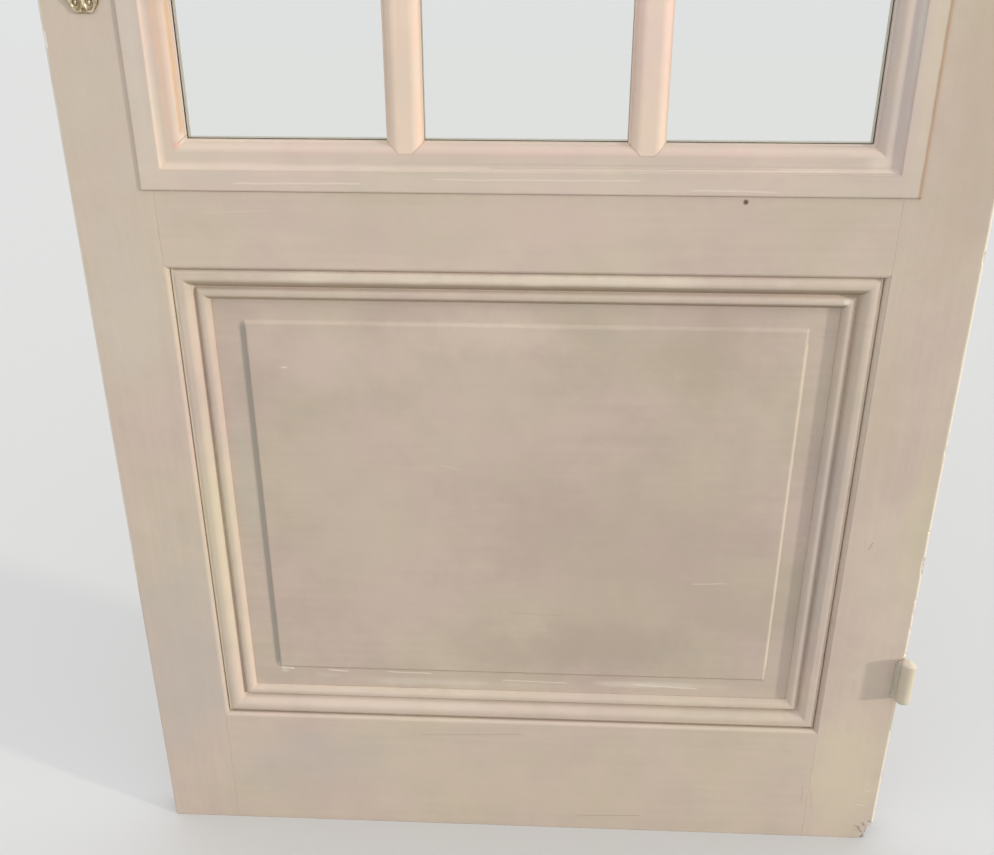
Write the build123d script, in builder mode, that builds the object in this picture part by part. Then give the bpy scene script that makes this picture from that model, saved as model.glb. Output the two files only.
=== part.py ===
from build123d import *
import os

# A glazed interior door leaf, taken off its hinges. Lengths are in millimetres.
# The origin is the mouth of the lower hinge's bore, on the hinge pin's axis.
# +X runs to the right seen from the front, towards the hinges, +Y runs from the front to the back
# and +Z is up. The leaf's own measures are x from its closing edge, depth behind its front face
# and height above its foot.

# Leaf
leaf_width = 830.0
leaf_height = 2040.0
leaf_thickness = 36.0
stile_width = 77.0
hanging_stile_width = 81.0
edge_round = 1.6
worn_corner_width = 7.0
worn_corner_height = 21.0

# Rails
bottom_rail_width = 158.5
middle_rail_bottom = 687.5
glazing_bottom = 762.4
tenon_thickness = 12.0
tenon_shoulder = 20.0

# Glazing frame, measured inwards from its outer edge
glazing_edge = 66.5
glazing_proud = 4.0
lip_let_in = 6.0
arris_round = 1.8
band_width = 20.0
cove_end = 27.0
sight_width = 44.6
flat_depth = 2.0

# Ovolo and glass, the same on the glazing frame and on the bars
ovolo_width = 9.0
ovolo_foot = 9.0
ovolo_strip = 1.65
glass_face = 12.0
glass_thickness = 4.0
glass_play = 1.5
bar_width = 33.3
bar_tenon_length = 10.0
bar_tenon_thickness = 12.0
columns = ("left", "middle", "right")
rows = ("bottom", "lower", "upper", "top")
cross_bar_names = ("lower", "middle", "upper")

# Glazing beads
bead_flat = 2.5
bead_nose = 8.0

# Lower panel, measured inwards from its opening
panel_groove = 12.0
panel_play = 1.0
margin_depth = 14.5
field_depth = 10.0
field_round = 8.8
field_left = 55.8
field_right = 59.4
field_top = 53.2
field_foot = 54.3
opening_round = 4.0

# Panel moulding, measured inwards from the opening and behind the face
outer_quirk_depth = 6.4
outer_crest = 5.2
outer_crest_depth = 2.0
slope_start = 8.1
slope_start_depth = 3.0
inner_quirk = 18.5
inner_quirk_width = 0.5
inner_quirk_depth = 12.5
inner_crest = 22.6
inner_crest_depth = 7.3
moulding_width = 31.5
moulding_toe = 0.7

# Hinges: the leaf's halves of three lift-off hinges
hinge_mouth_height = 212.0
hinge_top_drop = 262.0
hinge_names = ("lower", "middle", "upper")
pin_beyond_edge = 1.5
knuckle_radius = 8.0
knuckle_height = 51.0
knuckle_chamfer = 1.5
hinge_bore_radius = 4.6
hinge_bore_length = 40.0
hinge_bore_point = 2.6
hinge_bore_tip_radius = 0.4
hinge_leaf_height = 102.0
hinge_leaf_width = 31.0
hinge_leaf_thickness = 2.5
hinge_screw_pitch = 33.0
hinge_screws_each = 3
hinge_screw_inset = 9.0
hinge_screw_stagger = 9.5
knuckle_neck = 1.5

# Screws: wood screws, and the small screws of the lock's cover
screw_head_radius = 3.6
screw_shank_radius = 1.8
screw_length = 22.0
plate_screw_length = 16.0
lock_screw_head = 2.6
lock_screw_shank = 1.4
lock_screw_length = 8.0
screw_gap = 0.05

# Lock: what goes above and below is measured from the spindle's axis
backset = 39.5
spindle_height = 1050.0
key_drop = 70.0
faceplate_width = 20.0
faceplate_thickness = 3.0
faceplate_above = 60.0
faceplate_below = 120.0
faceplate_screw_inset = 10.0
case_above = 36.0
case_below = 94.0
case_back = 62.0
case_thickness = 14.0
case_wall = 1.5
case_play = 0.5
spindle_hole_radius = 7.5
keyhole_play = 1.0
boss_radius = 4.0
front_boss_inset = 11.0
front_boss_drop = 8.0
rear_boss_inset = 9.0
rear_boss_drop = 84.0
running_gap = 0.3
bearing_gap = 0.08

# Latch and follower
bolt_thickness = 10.0
tail_thickness = 5.0
latch_throw = 12.0
latch_height = 22.0
latch_rise = 17.0
latch_head_length = 19.0
latch_nose = 2.0
latch_shoulder = 1.5
tail_width = 6.0
lug_thickness = 5.0
lug_rise = 10.0
follower_radius = 9.0
journal_radius = 6.5
arm_reach = 16.5
arm_tip_radius = 2.5
spindle_side = 7.0
socket_play = 0.05
spring_thickness = 0.9
spring_bend = 4.0
spring_end_gap = 0.5
spring_drop = 26.0
post_start = 10.0
post_length = 4.0
post_wall = 2.0

# Dead bolt: its foot lies above the key's axis, and its head is flush with the faceplate when it
# is drawn back
dead_bolt_throw = 14.0
dead_bolt_rise = 8.0
dead_bolt_height = 24.0
dead_bolt_head_length = 20.0
dead_bolt_tail_height = 20.0
dead_bolt_end = 50.0
stump_x = 27.5
stump_radius = 3.0
key_notch_radius = 7.0
key_notch_drop = 2.0
key_radius = 3.6
key_slot_width = 3.0
key_slot_drop = 12.0
bolt_spring_start = 22.0
bolt_spring_foot = 5.0
bolt_spring_span = 18.0
bolt_spring_rise = 3.7
rail_start = 22.0

# Backplates
plate_above = 87.0
plate_below = 137.0
plate_thickness = 2.5
plate_slope = 1.5
plate_screw_inset = 33.0
collar_radius = 13.0
collar_height = 4.0
neck_radius = 8.7
# A quarter of a plate's outline: arcs that start at the foot of its centre line, each with the
# point it passes and the point it ends at, as half width and height above the foot.
plate_arcs = (
    ((4.5, 0.0), (8.6, 2.6)),
    ((12.0, 6.0), (14.0, 11.5)),
    ((19.4, 17.0), (15.5, 26.0)),
    ((12.8, 34.0), (14.2, 44.0)),
)
plate_dent = 0.8
plate_waist = 18.5

# Levers: a turned neck, and a grip whose outline is drawn along it from the spindle and above the
# spindle's axis
lever_clearance = 1.0
lever_shoulder_radius = 11.5
lever_shoulder = 4.0
lever_stem_radius = 7.0
lever_head_radius = 9.0
lever_head_end = 57.0
lever_head_bevel = 3.0
grip_back = 46.0
grip_front = 56.0
grip_root = 6.5
grip_crown = (60.0, 9.0)
grip_tip = (108.0, -3.0)
grip_tip_side = (104.0, -9.0)
grip_tip_foot = (98.0, -8.5)
grip_chamfer = 2.5
spindle_end = 24.0
socket_spare = 2.0
pin_radius = 1.5
pin_depth = 17.0

# Places worked out from the sizes above
closing_edge = -(leaf_width + pin_beyond_edge)
front_face = knuckle_radius
foot = -hinge_mouth_height
middle_depth = leaf_thickness / 2
glazing_top = leaf_height - glazing_edge
lip_width = stile_width - glazing_edge
middle_rail_top = glazing_bottom + lip_width
top_rail_bottom = glazing_top - lip_width
glazing_front = -glazing_proud
glazing_back = leaf_thickness + glazing_proud
back_flat = leaf_thickness - flat_depth
glass_back = glass_face + glass_thickness
rebate = ovolo_width + ovolo_strip
flat_end = sight_width - rebate
bar_half = bar_width / 2
bar_flat = bar_half - rebate
sight_left = glazing_edge + sight_width
sight_right = leaf_width - sight_left
sight_bottom = glazing_bottom + sight_width
sight_top = glazing_top - sight_width
pane_width = (sight_right - sight_left - (len(columns) - 1) * bar_width) / len(columns)
pane_height = (sight_top - sight_bottom - (len(rows) - 1) * bar_width) / len(rows)
case_front = middle_depth - case_thickness / 2
case_rear = middle_depth + case_thickness / 2
faceplate_depths = (middle_depth - faceplate_width / 2, middle_depth + faceplate_width / 2)
socket_side = spindle_side + 2 * socket_play
hinge_pitch = (leaf_height - hinge_top_drop - hinge_mouth_height) / (len(hinge_names) - 1)
hinge_heights = [hinge_mouth_height + i * hinge_pitch for i in range(len(hinge_names))]
key_height = spindle_height - key_drop
faceplate_heights = (spindle_height - faceplate_below, spindle_height + faceplate_above)
case_heights = (spindle_height - case_below, spindle_height + case_above)
latch_centre = spindle_height + latch_rise
spring_height = spindle_height - spring_drop
dead_bolt_foot = key_height + dead_bolt_rise
boss_places = (
    (faceplate_thickness + front_boss_inset, spindle_height - front_boss_drop),
    (case_back - rear_boss_inset, spindle_height - rear_boss_drop),
)
plate_heights = (spindle_height - plate_below, spindle_height + plate_above)
shoulders = (stile_width, leaf_width - hanging_stile_width)
opening_x = (shoulders[0] + opening_round, shoulders[1] - opening_round)
opening_heights = (bottom_rail_width, middle_rail_bottom)
upright = (0, 0, 1)
rightward = (1, 0, 0)
backward = (0, 1, 0)


def at(x, depth, height):
    """A point given in the leaf's own measures."""
    return Vector(closing_edge + x, front_face + depth, foot + height)


def behind(depth):
    """The plane that far behind the front face, seen from the front: x and height are its axes."""
    return Plane(at(0, depth, 0), x_dir=rightward, z_dir=(0, -1, 0))


def widened(span, gap):
    """A range that is longer by a gap at both ends."""
    return (span[0] - gap, span[1] + gap)


def block(x, depth, height, mode=Mode.ADD):
    """A square-edged length of stuff, or a mortise or recess, from one value to another each way."""
    with Locations(at(x[0], depth[0], height[0])):
        Box(x[1] - x[0], depth[1] - depth[0], height[1] - height[0], align=Align.MIN, mode=mode)


def round_bar(centre, axis, radius, length, mode=Mode.ADD):
    """A round pin or hole from the centre of its first end along an axis."""
    with BuildSketch(Plane(centre, z_dir=axis)) as end:
        Circle(radius)
    extrude(end.sketch, amount=length, mode=mode)


def screw(point, inward, length, head=screw_head_radius, shank=screw_shank_radius, gap=0.0,
          mode=Mode.ADD):
    """A countersunk screw with a tapering shank and its head flush at the point, or its hole where
    a gap is given."""
    across = Vector(inward).cross(Vector(upright))
    taper = head - shank
    with BuildSketch(Plane(point, x_dir=across, z_dir=upright)) as half:
        with BuildLine():
            Polyline((0, 0), (head + gap, 0), (shank + gap, taper), (0, length + gap), close=True)
        make_face()
    revolve(half.sketch, axis=Axis(point, inward), mode=mode)


def mitred_sides(x, height, outline, spare=0.0):
    """The four lengths of a mitred frame. The outline's axes run inwards from the frame's outer
    edge and backwards from the leaf's face. The spare length serves cutters that reach outwards."""
    corners = [at(x[0], 0, height[0]), at(x[0], 0, height[1])]
    corners += [at(x[1], 0, height[1]), at(x[1], 0, height[0])]
    sides = {}
    for number, name in enumerate(("left", "top", "right", "bottom")):
        start = corners[number]
        end = corners[(number + 1) % 4]
        opposite = corners[(number + 2) % 4]
        along = (end - start).normalized()
        inward = (opposite - end).normalized()
        with BuildPart() as side:
            with BuildSketch(Plane(start - along * spare, x_dir=inward, z_dir=along)):
                add(outline)
            extrude(amount=(end - start).length + 2 * spare)
            split(bisect_by=Plane(start, z_dir=along - inward), keep=Keep.TOP)
            split(bisect_by=Plane(end, z_dir=-(along + inward)), keep=Keep.TOP)
        sides[name] = side.part
    return sides


def save(piece, name):
    """Labels a finished piece and writes it."""
    piece.label = name
    export_step(piece, f"parts/{name}.step")


os.makedirs("parts", exist_ok=True)

# Sections that run along the leaf: first axis inwards from the edge, second axis backwards.
# The glazing frame is alike on both faces, apart from the rebate for glass and bead at the back.
with BuildSketch() as glazing_section:
    with BuildLine():
        Polyline((0, glazing_front + arris_round), (0, lip_let_in), (lip_width, lip_let_in),
                 (lip_width, leaf_thickness - lip_let_in), (0, leaf_thickness - lip_let_in),
                 (0, glazing_back - arris_round))
        TangentArc((0, glazing_back - arris_round), (arris_round, glazing_back), tangent=(0, 1))
        Line((arris_round, glazing_back), (band_width, glazing_back))
        TangentArc((cove_end, back_flat), (band_width, glazing_back), tangent=(-1, 0))
        Polyline((cove_end, back_flat), (flat_end, back_flat), (flat_end, glass_face),
                 (sight_width, glass_face), (sight_width, ovolo_foot),
                 (sight_width - ovolo_strip, ovolo_foot))
        TangentArc((flat_end, flat_depth), (sight_width - ovolo_strip, ovolo_foot), tangent=(1, 0))
        Line((flat_end, flat_depth), (cove_end, flat_depth))
        TangentArc((cove_end, flat_depth), (band_width, glazing_front), tangent=(-1, 0))
        Line((band_width, glazing_front), (arris_round, glazing_front))
        TangentArc((arris_round, glazing_front), (0, glazing_front + arris_round), tangent=(-1, 0))
    make_face()

# A glazing bar: a moulded front with the web between the glass rebates behind it.
with BuildSketch() as bar_section:
    with BuildLine():
        TangentArc((bar_flat, flat_depth), (bar_half - ovolo_strip, ovolo_foot), tangent=(1, 0))
        Polyline((bar_half - ovolo_strip, ovolo_foot), (bar_half, ovolo_foot),
                 (bar_half, glass_face), (bar_flat, glass_face), (bar_flat, back_flat),
                 (0, back_flat))
        Line((bar_flat, flat_depth), (0, flat_depth))
        mirror(about=Plane.YZ)
    make_face()

# A glazing bead lies in the rebate behind the glass and is splayed towards the pane.
with BuildSketch() as bead_section:
    with BuildLine():
        Polyline((0, back_flat), (0, glass_back), (rebate, glass_back),
                 (rebate, glass_back + bead_nose), (bead_flat, back_flat), close=True)
    make_face()

# The panel moulding: a round nose behind the opening's edge, a slope down to a deep quirk, and an
# ovolo that ends on the panel's margin.
with BuildSketch() as moulding_section:
    with BuildLine():
        Line((0, margin_depth), (0, outer_quirk_depth))
        TangentArc((outer_crest, outer_crest_depth), (0, outer_quirk_depth), tangent=(-1, 0))
        TangentArc((outer_crest, outer_crest_depth), (slope_start, slope_start_depth),
                   tangent=(1, 0))
        Polyline((slope_start, slope_start_depth), (inner_quirk, inner_quirk_depth),
                 (inner_quirk + inner_quirk_width, inner_quirk_depth))
        TangentArc((inner_crest, inner_crest_depth),
                   (inner_quirk + inner_quirk_width, inner_quirk_depth), tangent=(-1, 0))
        TangentArc((inner_crest, inner_crest_depth), (moulding_width, margin_depth - moulding_toe),
                   tangent=(1, 0))
        Polyline((moulding_width, margin_depth - moulding_toe), (moulding_width, margin_depth),
                 (0, margin_depth))
    make_face()
moulding_sides = mitred_sides(opening_x, opening_heights, moulding_section.sketch)

# What is planed off the edge of the panel's opening to round it.
with BuildSketch() as rounding_section:
    with BuildLine():
        TangentArc((-opening_round, 0), (0, opening_round), tangent=(1, 0))
        Polyline((0, opening_round), (0, 0), (-opening_round, 0))
    make_face()
rounding_sides = mitred_sides(
    opening_x, opening_heights, rounding_section.sketch, spare=opening_round
)


def sticking(side, mode=Mode.ADD):
    """The edge that a stile keeps beside the panel's opening, beyond the rails' shoulders. Its ends
    are mitred to the rails."""
    with BuildSketch(behind(leaf_thickness)) as outline:
        with BuildLine():
            Polyline((shoulders[side], opening_heights[0] - opening_round),
                     (opening_x[side], opening_heights[0]), (opening_x[side], opening_heights[1]),
                     (shoulders[side], opening_heights[1] + opening_round), close=True)
        make_face()
    extrude(outline.sketch, amount=leaf_thickness, mode=mode)


def joinery():
    """Cuts that stiles and rails share: the glazing frame's opening and the seat of its lips, the
    panel's groove and the rounded edge of its opening."""
    block((stile_width, leaf_width - stile_width), (0, leaf_thickness),
          (middle_rail_top, top_rail_bottom), mode=Mode.SUBTRACT)
    outer = (glazing_edge, leaf_width - glazing_edge)
    for depth in ((0, lip_let_in), (leaf_thickness - lip_let_in, leaf_thickness)):
        block(outer, depth, (glazing_bottom, glazing_top), mode=Mode.SUBTRACT)
    groove_x = (opening_x[0] - panel_groove, opening_x[1] + panel_groove)
    groove_height = (opening_heights[0] - panel_groove, opening_heights[1] + panel_groove)
    groove_depth = (margin_depth, leaf_thickness - margin_depth)
    block(groove_x, groove_depth, groove_height, mode=Mode.SUBTRACT)
    for side in rounding_sides.values():
        add(side, mode=Mode.SUBTRACT)
        mirror(side, about=behind(middle_depth), mode=Mode.SUBTRACT)


# Rails: each lies between shoulders and has a tenon right through both stiles.
tenon_depths = (middle_depth - tenon_thickness / 2, middle_depth + tenon_thickness / 2)
rails = {
    "bottom_rail": ((0, bottom_rail_width), (tenon_shoulder, bottom_rail_width - panel_groove)),
    "middle_rail": (
        (middle_rail_bottom, middle_rail_top),
        (middle_rail_bottom + panel_groove, glazing_bottom),
    ),
    "top_rail": ((top_rail_bottom, leaf_height), (glazing_top, leaf_height - tenon_shoulder)),
}
for name, (heights, tenon_heights) in rails.items():
    with BuildPart() as rail:
        block(shoulders, (0, leaf_thickness), heights)
        sticking(0, mode=Mode.SUBTRACT)
        sticking(1, mode=Mode.SUBTRACT)
        joinery()
        block((0, leaf_width), tenon_depths, tenon_heights)
    save(rail.part, name)


def screws_of_hinge(mouth, **kind):
    """A hinge's screws, driven into the hanging edge in two staggered lines."""
    for number in range(hinge_screws_each):
        depth = hinge_leaf_width - hinge_screw_inset - number % 2 * hinge_screw_stagger
        height = mouth + (number - (hinge_screws_each - 1) / 2) * hinge_screw_pitch
        screw(at(leaf_width, depth, height), (-1, 0, 0), screw_length, **kind)


def cut_hinge_seats():
    """The recess of each hinge leaf in the hanging edge, and the holes of its screws."""
    for mouth in hinge_heights:
        heights = (mouth + knuckle_height - hinge_leaf_height, mouth + knuckle_height)
        block((leaf_width - hinge_leaf_thickness, leaf_width), (0, hinge_leaf_width), heights,
              mode=Mode.SUBTRACT)
        screws_of_hinge(mouth, gap=screw_gap, mode=Mode.SUBTRACT)


def faceplate_screws(**kind):
    """The faceplate's two screws, driven into the closing edge."""
    for height in widened(faceplate_heights, -faceplate_screw_inset):
        screw(at(0, middle_depth, height), rightward, screw_length, **kind)


def backplate_screws(**kind):
    """The screws of the front and back plates, one pair on each face."""
    for height in widened(plate_heights, -plate_screw_inset):
        screw(at(backset, -plate_thickness, height), backward, plate_screw_length, **kind)
        screw(at(backset, leaf_thickness + plate_thickness, height), (0, -1, 0),
              plate_screw_length, **kind)


def keyhole(depth, gap=0.0):
    """Cuts a keyhole through a piece, from one depth to another."""
    with BuildSketch(behind(depth[1])) as hole:
        with Locations((backset, key_height)):
            Circle(key_radius + gap)
            Rectangle(key_slot_width + 2 * gap, key_slot_drop + gap, align=(Align.CENTER, Align.MAX))
    extrude(hole.sketch, amount=depth[1] - depth[0], mode=Mode.SUBTRACT)


def cut_lock_seat():
    """The lock's mortise and the faceplate's seat in the closing edge, with the spindle's hole,
    the keyhole and the holes of the screws."""
    block((0, case_back + case_play), widened((case_front, case_rear), case_play),
          widened(case_heights, case_play), mode=Mode.SUBTRACT)
    block((0, faceplate_thickness), faceplate_depths, faceplate_heights, mode=Mode.SUBTRACT)
    round_bar(at(backset, 0, spindle_height), backward, spindle_hole_radius, leaf_thickness,
              mode=Mode.SUBTRACT)
    keyhole((0, leaf_thickness), gap=keyhole_play)
    faceplate_screws(gap=screw_gap, mode=Mode.SUBTRACT)
    backplate_screws(gap=screw_gap, mode=Mode.SUBTRACT)


# Stiles: full height, with a mortise for each tenon. The closing stile takes the lock and the
# hanging stile has the hinges let into its edge. Its foot has lost a splinter at the outer corner.
for side, name in enumerate(("closing_stile", "hanging_stile")):
    with BuildPart() as stile:
        block(sorted((shoulders[side], side * leaf_width)), (0, leaf_thickness), (0, leaf_height))
        uprights = stile.edges().filter_by(Axis.Z).group_by(Axis.X)
        fillet(uprights[-side], radius=edge_round)
        sticking(side)
        joinery()
        for _, tenon_heights in rails.values():
            block((0, leaf_width), tenon_depths, tenon_heights, mode=Mode.SUBTRACT)
        if name == "closing_stile":
            cut_lock_seat()
        else:
            cut_hinge_seats()
            with BuildSketch(behind(leaf_thickness)) as splinter:
                with BuildLine():
                    Polyline((leaf_width - worn_corner_width, 0), (leaf_width, 0),
                             (leaf_width, worn_corner_height), close=True)
                make_face()
            extrude(splinter.sketch, amount=leaf_thickness, mode=Mode.SUBTRACT)
    save(stile.part, name)

# Lower panel: thin edges held in the groove with room to swell, and on each face a raised field
# whose edges are rounded down to the margin.
tongue = panel_groove - panel_play
field_x = (opening_x[0] + field_left, opening_x[1] - field_right)
field_heights = (opening_heights[0] + field_foot, opening_heights[1] - field_top)
with BuildSketch() as field_edge:
    with BuildLine():
        TangentArc((field_round, field_depth), (0, margin_depth), tangent=(-1, 0))
        Polyline((0, margin_depth), (0, field_depth), (field_round, field_depth))
    make_face()
with BuildPart() as lower_panel:
    block((opening_x[0] - tongue, opening_x[1] + tongue),
          (margin_depth, leaf_thickness - margin_depth),
          (opening_heights[0] - tongue, opening_heights[1] + tongue))
    block(field_x, (field_depth, leaf_thickness - field_depth), field_heights)
    for side in mitred_sides(field_x, field_heights, field_edge.sketch).values():
        add(side, mode=Mode.SUBTRACT)
        mirror(side, about=behind(middle_depth), mode=Mode.SUBTRACT)
save(lower_panel.part, "lower_panel")

# Panel moulding: eight mitred lengths, planted on the panel's margin and against the opening.
for name, side in moulding_sides.items():
    save(side, f"panel_moulding_front_{name}")
    with BuildPart() as back_side:
        mirror(side, about=behind(middle_depth))
    save(back_side.part, f"panel_moulding_back_{name}")

# Glazing bars: where each one runs, and the marks on its way that it shares with other pieces.
bar_columns = [
    sight_left + (i + 1) * pane_width + (i + 0.5) * bar_width for i in range(len(columns) - 1)
]
bar_heights = [
    sight_bottom + (i + 1) * pane_height + (i + 0.5) * bar_width for i in range(len(rows) - 1)
]
seat_x = (glazing_edge + flat_end, leaf_width - glazing_edge - flat_end)
seat_height = (glazing_bottom + flat_end, glazing_top - flat_end)
bar_tenon_depths = (glass_face + glass_thickness, glass_face + glass_thickness + bar_tenon_thickness)
web_middle = (glass_face + back_flat) / 2


def bar_end(x, height, towards):
    """Plan of a bar's mitred end, standing on a flat at the point and widening along the bar from
    the width of its own flat to its full width."""
    ahead = Vector(towards)
    aside = Vector(-ahead.Y, ahead.X)
    point = Vector(x, height)
    wide = point + ahead * rebate
    with BuildSketch(behind(glass_face)) as plan:
        with BuildLine():
            Polyline(point - aside * bar_flat, point + aside * bar_flat, wide + aside * bar_half,
                     wide - aside * bar_half, close=True)
        make_face()
    return plan


def cut_socket(x, height, towards):
    """Cuts the mitred seat of a bar's end in the moulding of the piece that takes it."""
    plan = bar_end(x, height, towards)
    extrude(plan.sketch, amount=glass_face + glazing_proud, mode=Mode.SUBTRACT)


def cut_mitre(x, height, towards):
    """Cuts away what lies beside a bar's mitred end."""
    ahead = Vector(towards)
    middle = Vector(x, height) + ahead * (rebate / 2)
    size = (rebate, bar_width) if ahead.X else (bar_width, rebate)
    with BuildSketch(behind(glass_face)) as waste:
        with Locations((middle.X, middle.Y)):
            Rectangle(*size)
        add(bar_end(x, height, towards).sketch_local, mode=Mode.SUBTRACT)
    extrude(waste.sketch, amount=glass_face, mode=Mode.SUBTRACT)


# Glazing frame: four mitred members whose lips hold the leaf's edge, with a socket and a mortise
# for each bar.
glazing_sides = mitred_sides((glazing_edge, leaf_width - glazing_edge),
                             (glazing_bottom, glazing_top), glazing_section.sketch)
for name, side in glazing_sides.items():
    with BuildPart() as member:
        add(side)
        if name in ("left", "right"):
            x = seat_x[0] if name == "left" else seat_x[1]
            ahead = 1 if name == "left" else -1
            for height in bar_heights:
                cut_socket(x, height, (ahead, 0))
                block(sorted((x, x - ahead * bar_tenon_length)), bar_tenon_depths,
                      (height - bar_flat, height + bar_flat), mode=Mode.SUBTRACT)
        else:
            height = seat_height[0] if name == "bottom" else seat_height[1]
            ahead = 1 if name == "bottom" else -1
            for x in bar_columns:
                cut_socket(x, height, (0, ahead))
                block((x - bar_flat, x + bar_flat), bar_tenon_depths,
                      sorted((height, height - ahead * bar_tenon_length)), mode=Mode.SUBTRACT)
    save(member.part, f"glazing_frame_{name}")

# Upright bars: whole from bottom to top. At each crossing the web is halved from the back, and
# the moulding is cut away for the mitred ends of the cross bar.
for name, x in zip(("left", "right"), bar_columns):
    with BuildPart() as bar:
        with BuildSketch(Plane(at(x, 0, seat_height[0]), x_dir=rightward, z_dir=upright)):
            add(bar_section.sketch)
        extrude(amount=seat_height[1] - seat_height[0])
        cut_mitre(x, seat_height[0], (0, 1))
        cut_mitre(x, seat_height[1], (0, -1))
        for height in bar_heights:
            cut_socket(x + bar_flat, height, (1, 0))
            cut_socket(x - bar_flat, height, (-1, 0))
            block((x - bar_flat, x + bar_flat), (web_middle, back_flat),
                  (height - bar_flat, height + bar_flat), mode=Mode.SUBTRACT)
        block((x - bar_flat, x + bar_flat), bar_tenon_depths,
              (seat_height[0] - bar_tenon_length, seat_height[0]))
        block((x - bar_flat, x + bar_flat), bar_tenon_depths,
              (seat_height[1], seat_height[1] + bar_tenon_length))
    save(bar.part, f"glazing_bar_{name}")

# Cross bars: halved from the front over the upright bars, with their moulding in three lengths.
for name, height in zip(cross_bar_names, bar_heights):
    with BuildPart() as bar:
        with BuildSketch(Plane(at(seat_x[0], 0, height), x_dir=(0, 0, -1), z_dir=rightward)):
            add(bar_section.sketch)
        extrude(amount=seat_x[1] - seat_x[0])
        cut_mitre(seat_x[0], height, (1, 0))
        cut_mitre(seat_x[1], height, (-1, 0))
        for x in bar_columns:
            cut_mitre(x + bar_flat, height, (1, 0))
            cut_mitre(x - bar_flat, height, (-1, 0))
            block((x - bar_flat, x + bar_flat), (0, glass_face),
                  (height - bar_half, height + bar_half), mode=Mode.SUBTRACT)
            block((x - bar_flat, x + bar_flat), (glass_face, web_middle),
                  (height - bar_flat, height + bar_flat), mode=Mode.SUBTRACT)
        block((seat_x[0] - bar_tenon_length, seat_x[0]), bar_tenon_depths,
              (height - bar_flat, height + bar_flat))
        block((seat_x[1], seat_x[1] + bar_tenon_length), bar_tenon_depths,
              (height - bar_flat, height + bar_flat))
    save(bar.part, f"cross_bar_{name}")

# Panes, with play in the rebates, and the beads that hold them from the back.
for row_number, row in enumerate(rows):
    sill = sight_bottom + row_number * (pane_height + bar_width)
    heights = (sill - rebate, sill + pane_height + rebate)
    row_beads = []
    for column_number, column in enumerate(columns):
        jamb = sight_left + column_number * (pane_width + bar_width)
        x = (jamb - rebate, jamb + pane_width + rebate)
        with BuildPart() as pane:
            block((x[0] + glass_play, x[1] - glass_play), (glass_face, glass_back),
                  (heights[0] + glass_play, heights[1] - glass_play))
        save(pane.part, f"pane_{row}_{column}")
        row_beads += mitred_sides(x, heights, bead_section.sketch).values()
    save(Compound(row_beads), f"glazing_beads_{row}_row")

# Hinges: the leaf's halves. Each lies in the hanging edge and carries its knuckle in front of the
# face. The knuckle drops over the pin of the frame's half, so its bore is blind, ends in a drill's
# point and opens downwards.
for name, mouth in zip(hinge_names, hinge_heights):
    head = mouth + knuckle_height
    pin_foot = at(leaf_width + pin_beyond_edge, -knuckle_radius, mouth)
    with BuildPart() as hinge:
        round_bar(pin_foot, upright, knuckle_radius, knuckle_height)
        rim = hinge.edges().filter_by(GeomType.CIRCLE)
        chamfer(rim.group_by(Axis.Z)[-1], length=knuckle_chamfer)
        block((leaf_width - hinge_leaf_thickness, leaf_width), (-knuckle_neck, hinge_leaf_width),
              (mouth, head))
        block((leaf_width - hinge_leaf_thickness, leaf_width), (knuckle_neck, hinge_leaf_width),
              (head - hinge_leaf_height, mouth))
        round_bar(pin_foot, upright, hinge_bore_radius, hinge_bore_length, mode=Mode.SUBTRACT)
        with Locations(pin_foot + Vector(upright) * hinge_bore_length):
            Cone(hinge_bore_radius, hinge_bore_tip_radius, hinge_bore_point,
                 align=(Align.CENTER, Align.CENTER, Align.MIN), mode=Mode.SUBTRACT)
        screws_of_hinge(mouth, gap=screw_gap, mode=Mode.SUBTRACT)
    save(hinge.part, f"hinge_{name}")

with BuildPart() as hinge_screws:
    for mouth in hinge_heights:
        screws_of_hinge(mouth)
save(hinge_screws.part, "hinge_screws")

# Lock faceplate: let in flush with the closing edge, with an opening for each bolt.
latch_heights = (latch_centre - latch_height / 2, latch_centre + latch_height / 2)
dead_bolt_heights = (dead_bolt_foot, dead_bolt_foot + dead_bolt_height)
bolt_depths = (middle_depth - bolt_thickness / 2, middle_depth + bolt_thickness / 2)
tail_depths = (middle_depth - tail_thickness / 2, middle_depth + tail_thickness / 2)


with BuildPart() as lock_faceplate:
    block((0, faceplate_thickness), faceplate_depths, faceplate_heights)
    for heights in (latch_heights, dead_bolt_heights):
        block((0, faceplate_thickness), widened(bolt_depths, running_gap),
              widened(heights, running_gap), mode=Mode.SUBTRACT)
    faceplate_screws(gap=screw_gap, mode=Mode.SUBTRACT)
save(lock_faceplate.part, "lock_faceplate")

# Lock case: a tray that is open to the faceplate and to the cover, with a stump for the dead
# bolt, a rail over its spring, a post for the latch spring and bosses for the cover's screws.
inside_x = (faceplate_thickness, case_back - case_wall)
inside_depths = (case_front + case_wall, case_rear - case_wall)
inside_heights = widened(case_heights, -case_wall)
tail_heights = (dead_bolt_foot, dead_bolt_foot + dead_bolt_tail_height)
spring_top = tail_heights[1] + bolt_spring_rise
rail_foot = spring_top + running_gap
post_x = (post_start, post_start + post_length)
spring_heights = (spring_height, spring_height + spring_thickness)


def lock_cover_screws(**kind):
    """The small screws that hold the cover to the case's bosses."""
    for x, height in boss_places:
        screw(at(x, case_rear, height), (0, -1, 0), lock_screw_length, head=lock_screw_head,
              shank=lock_screw_shank, **kind)


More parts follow.
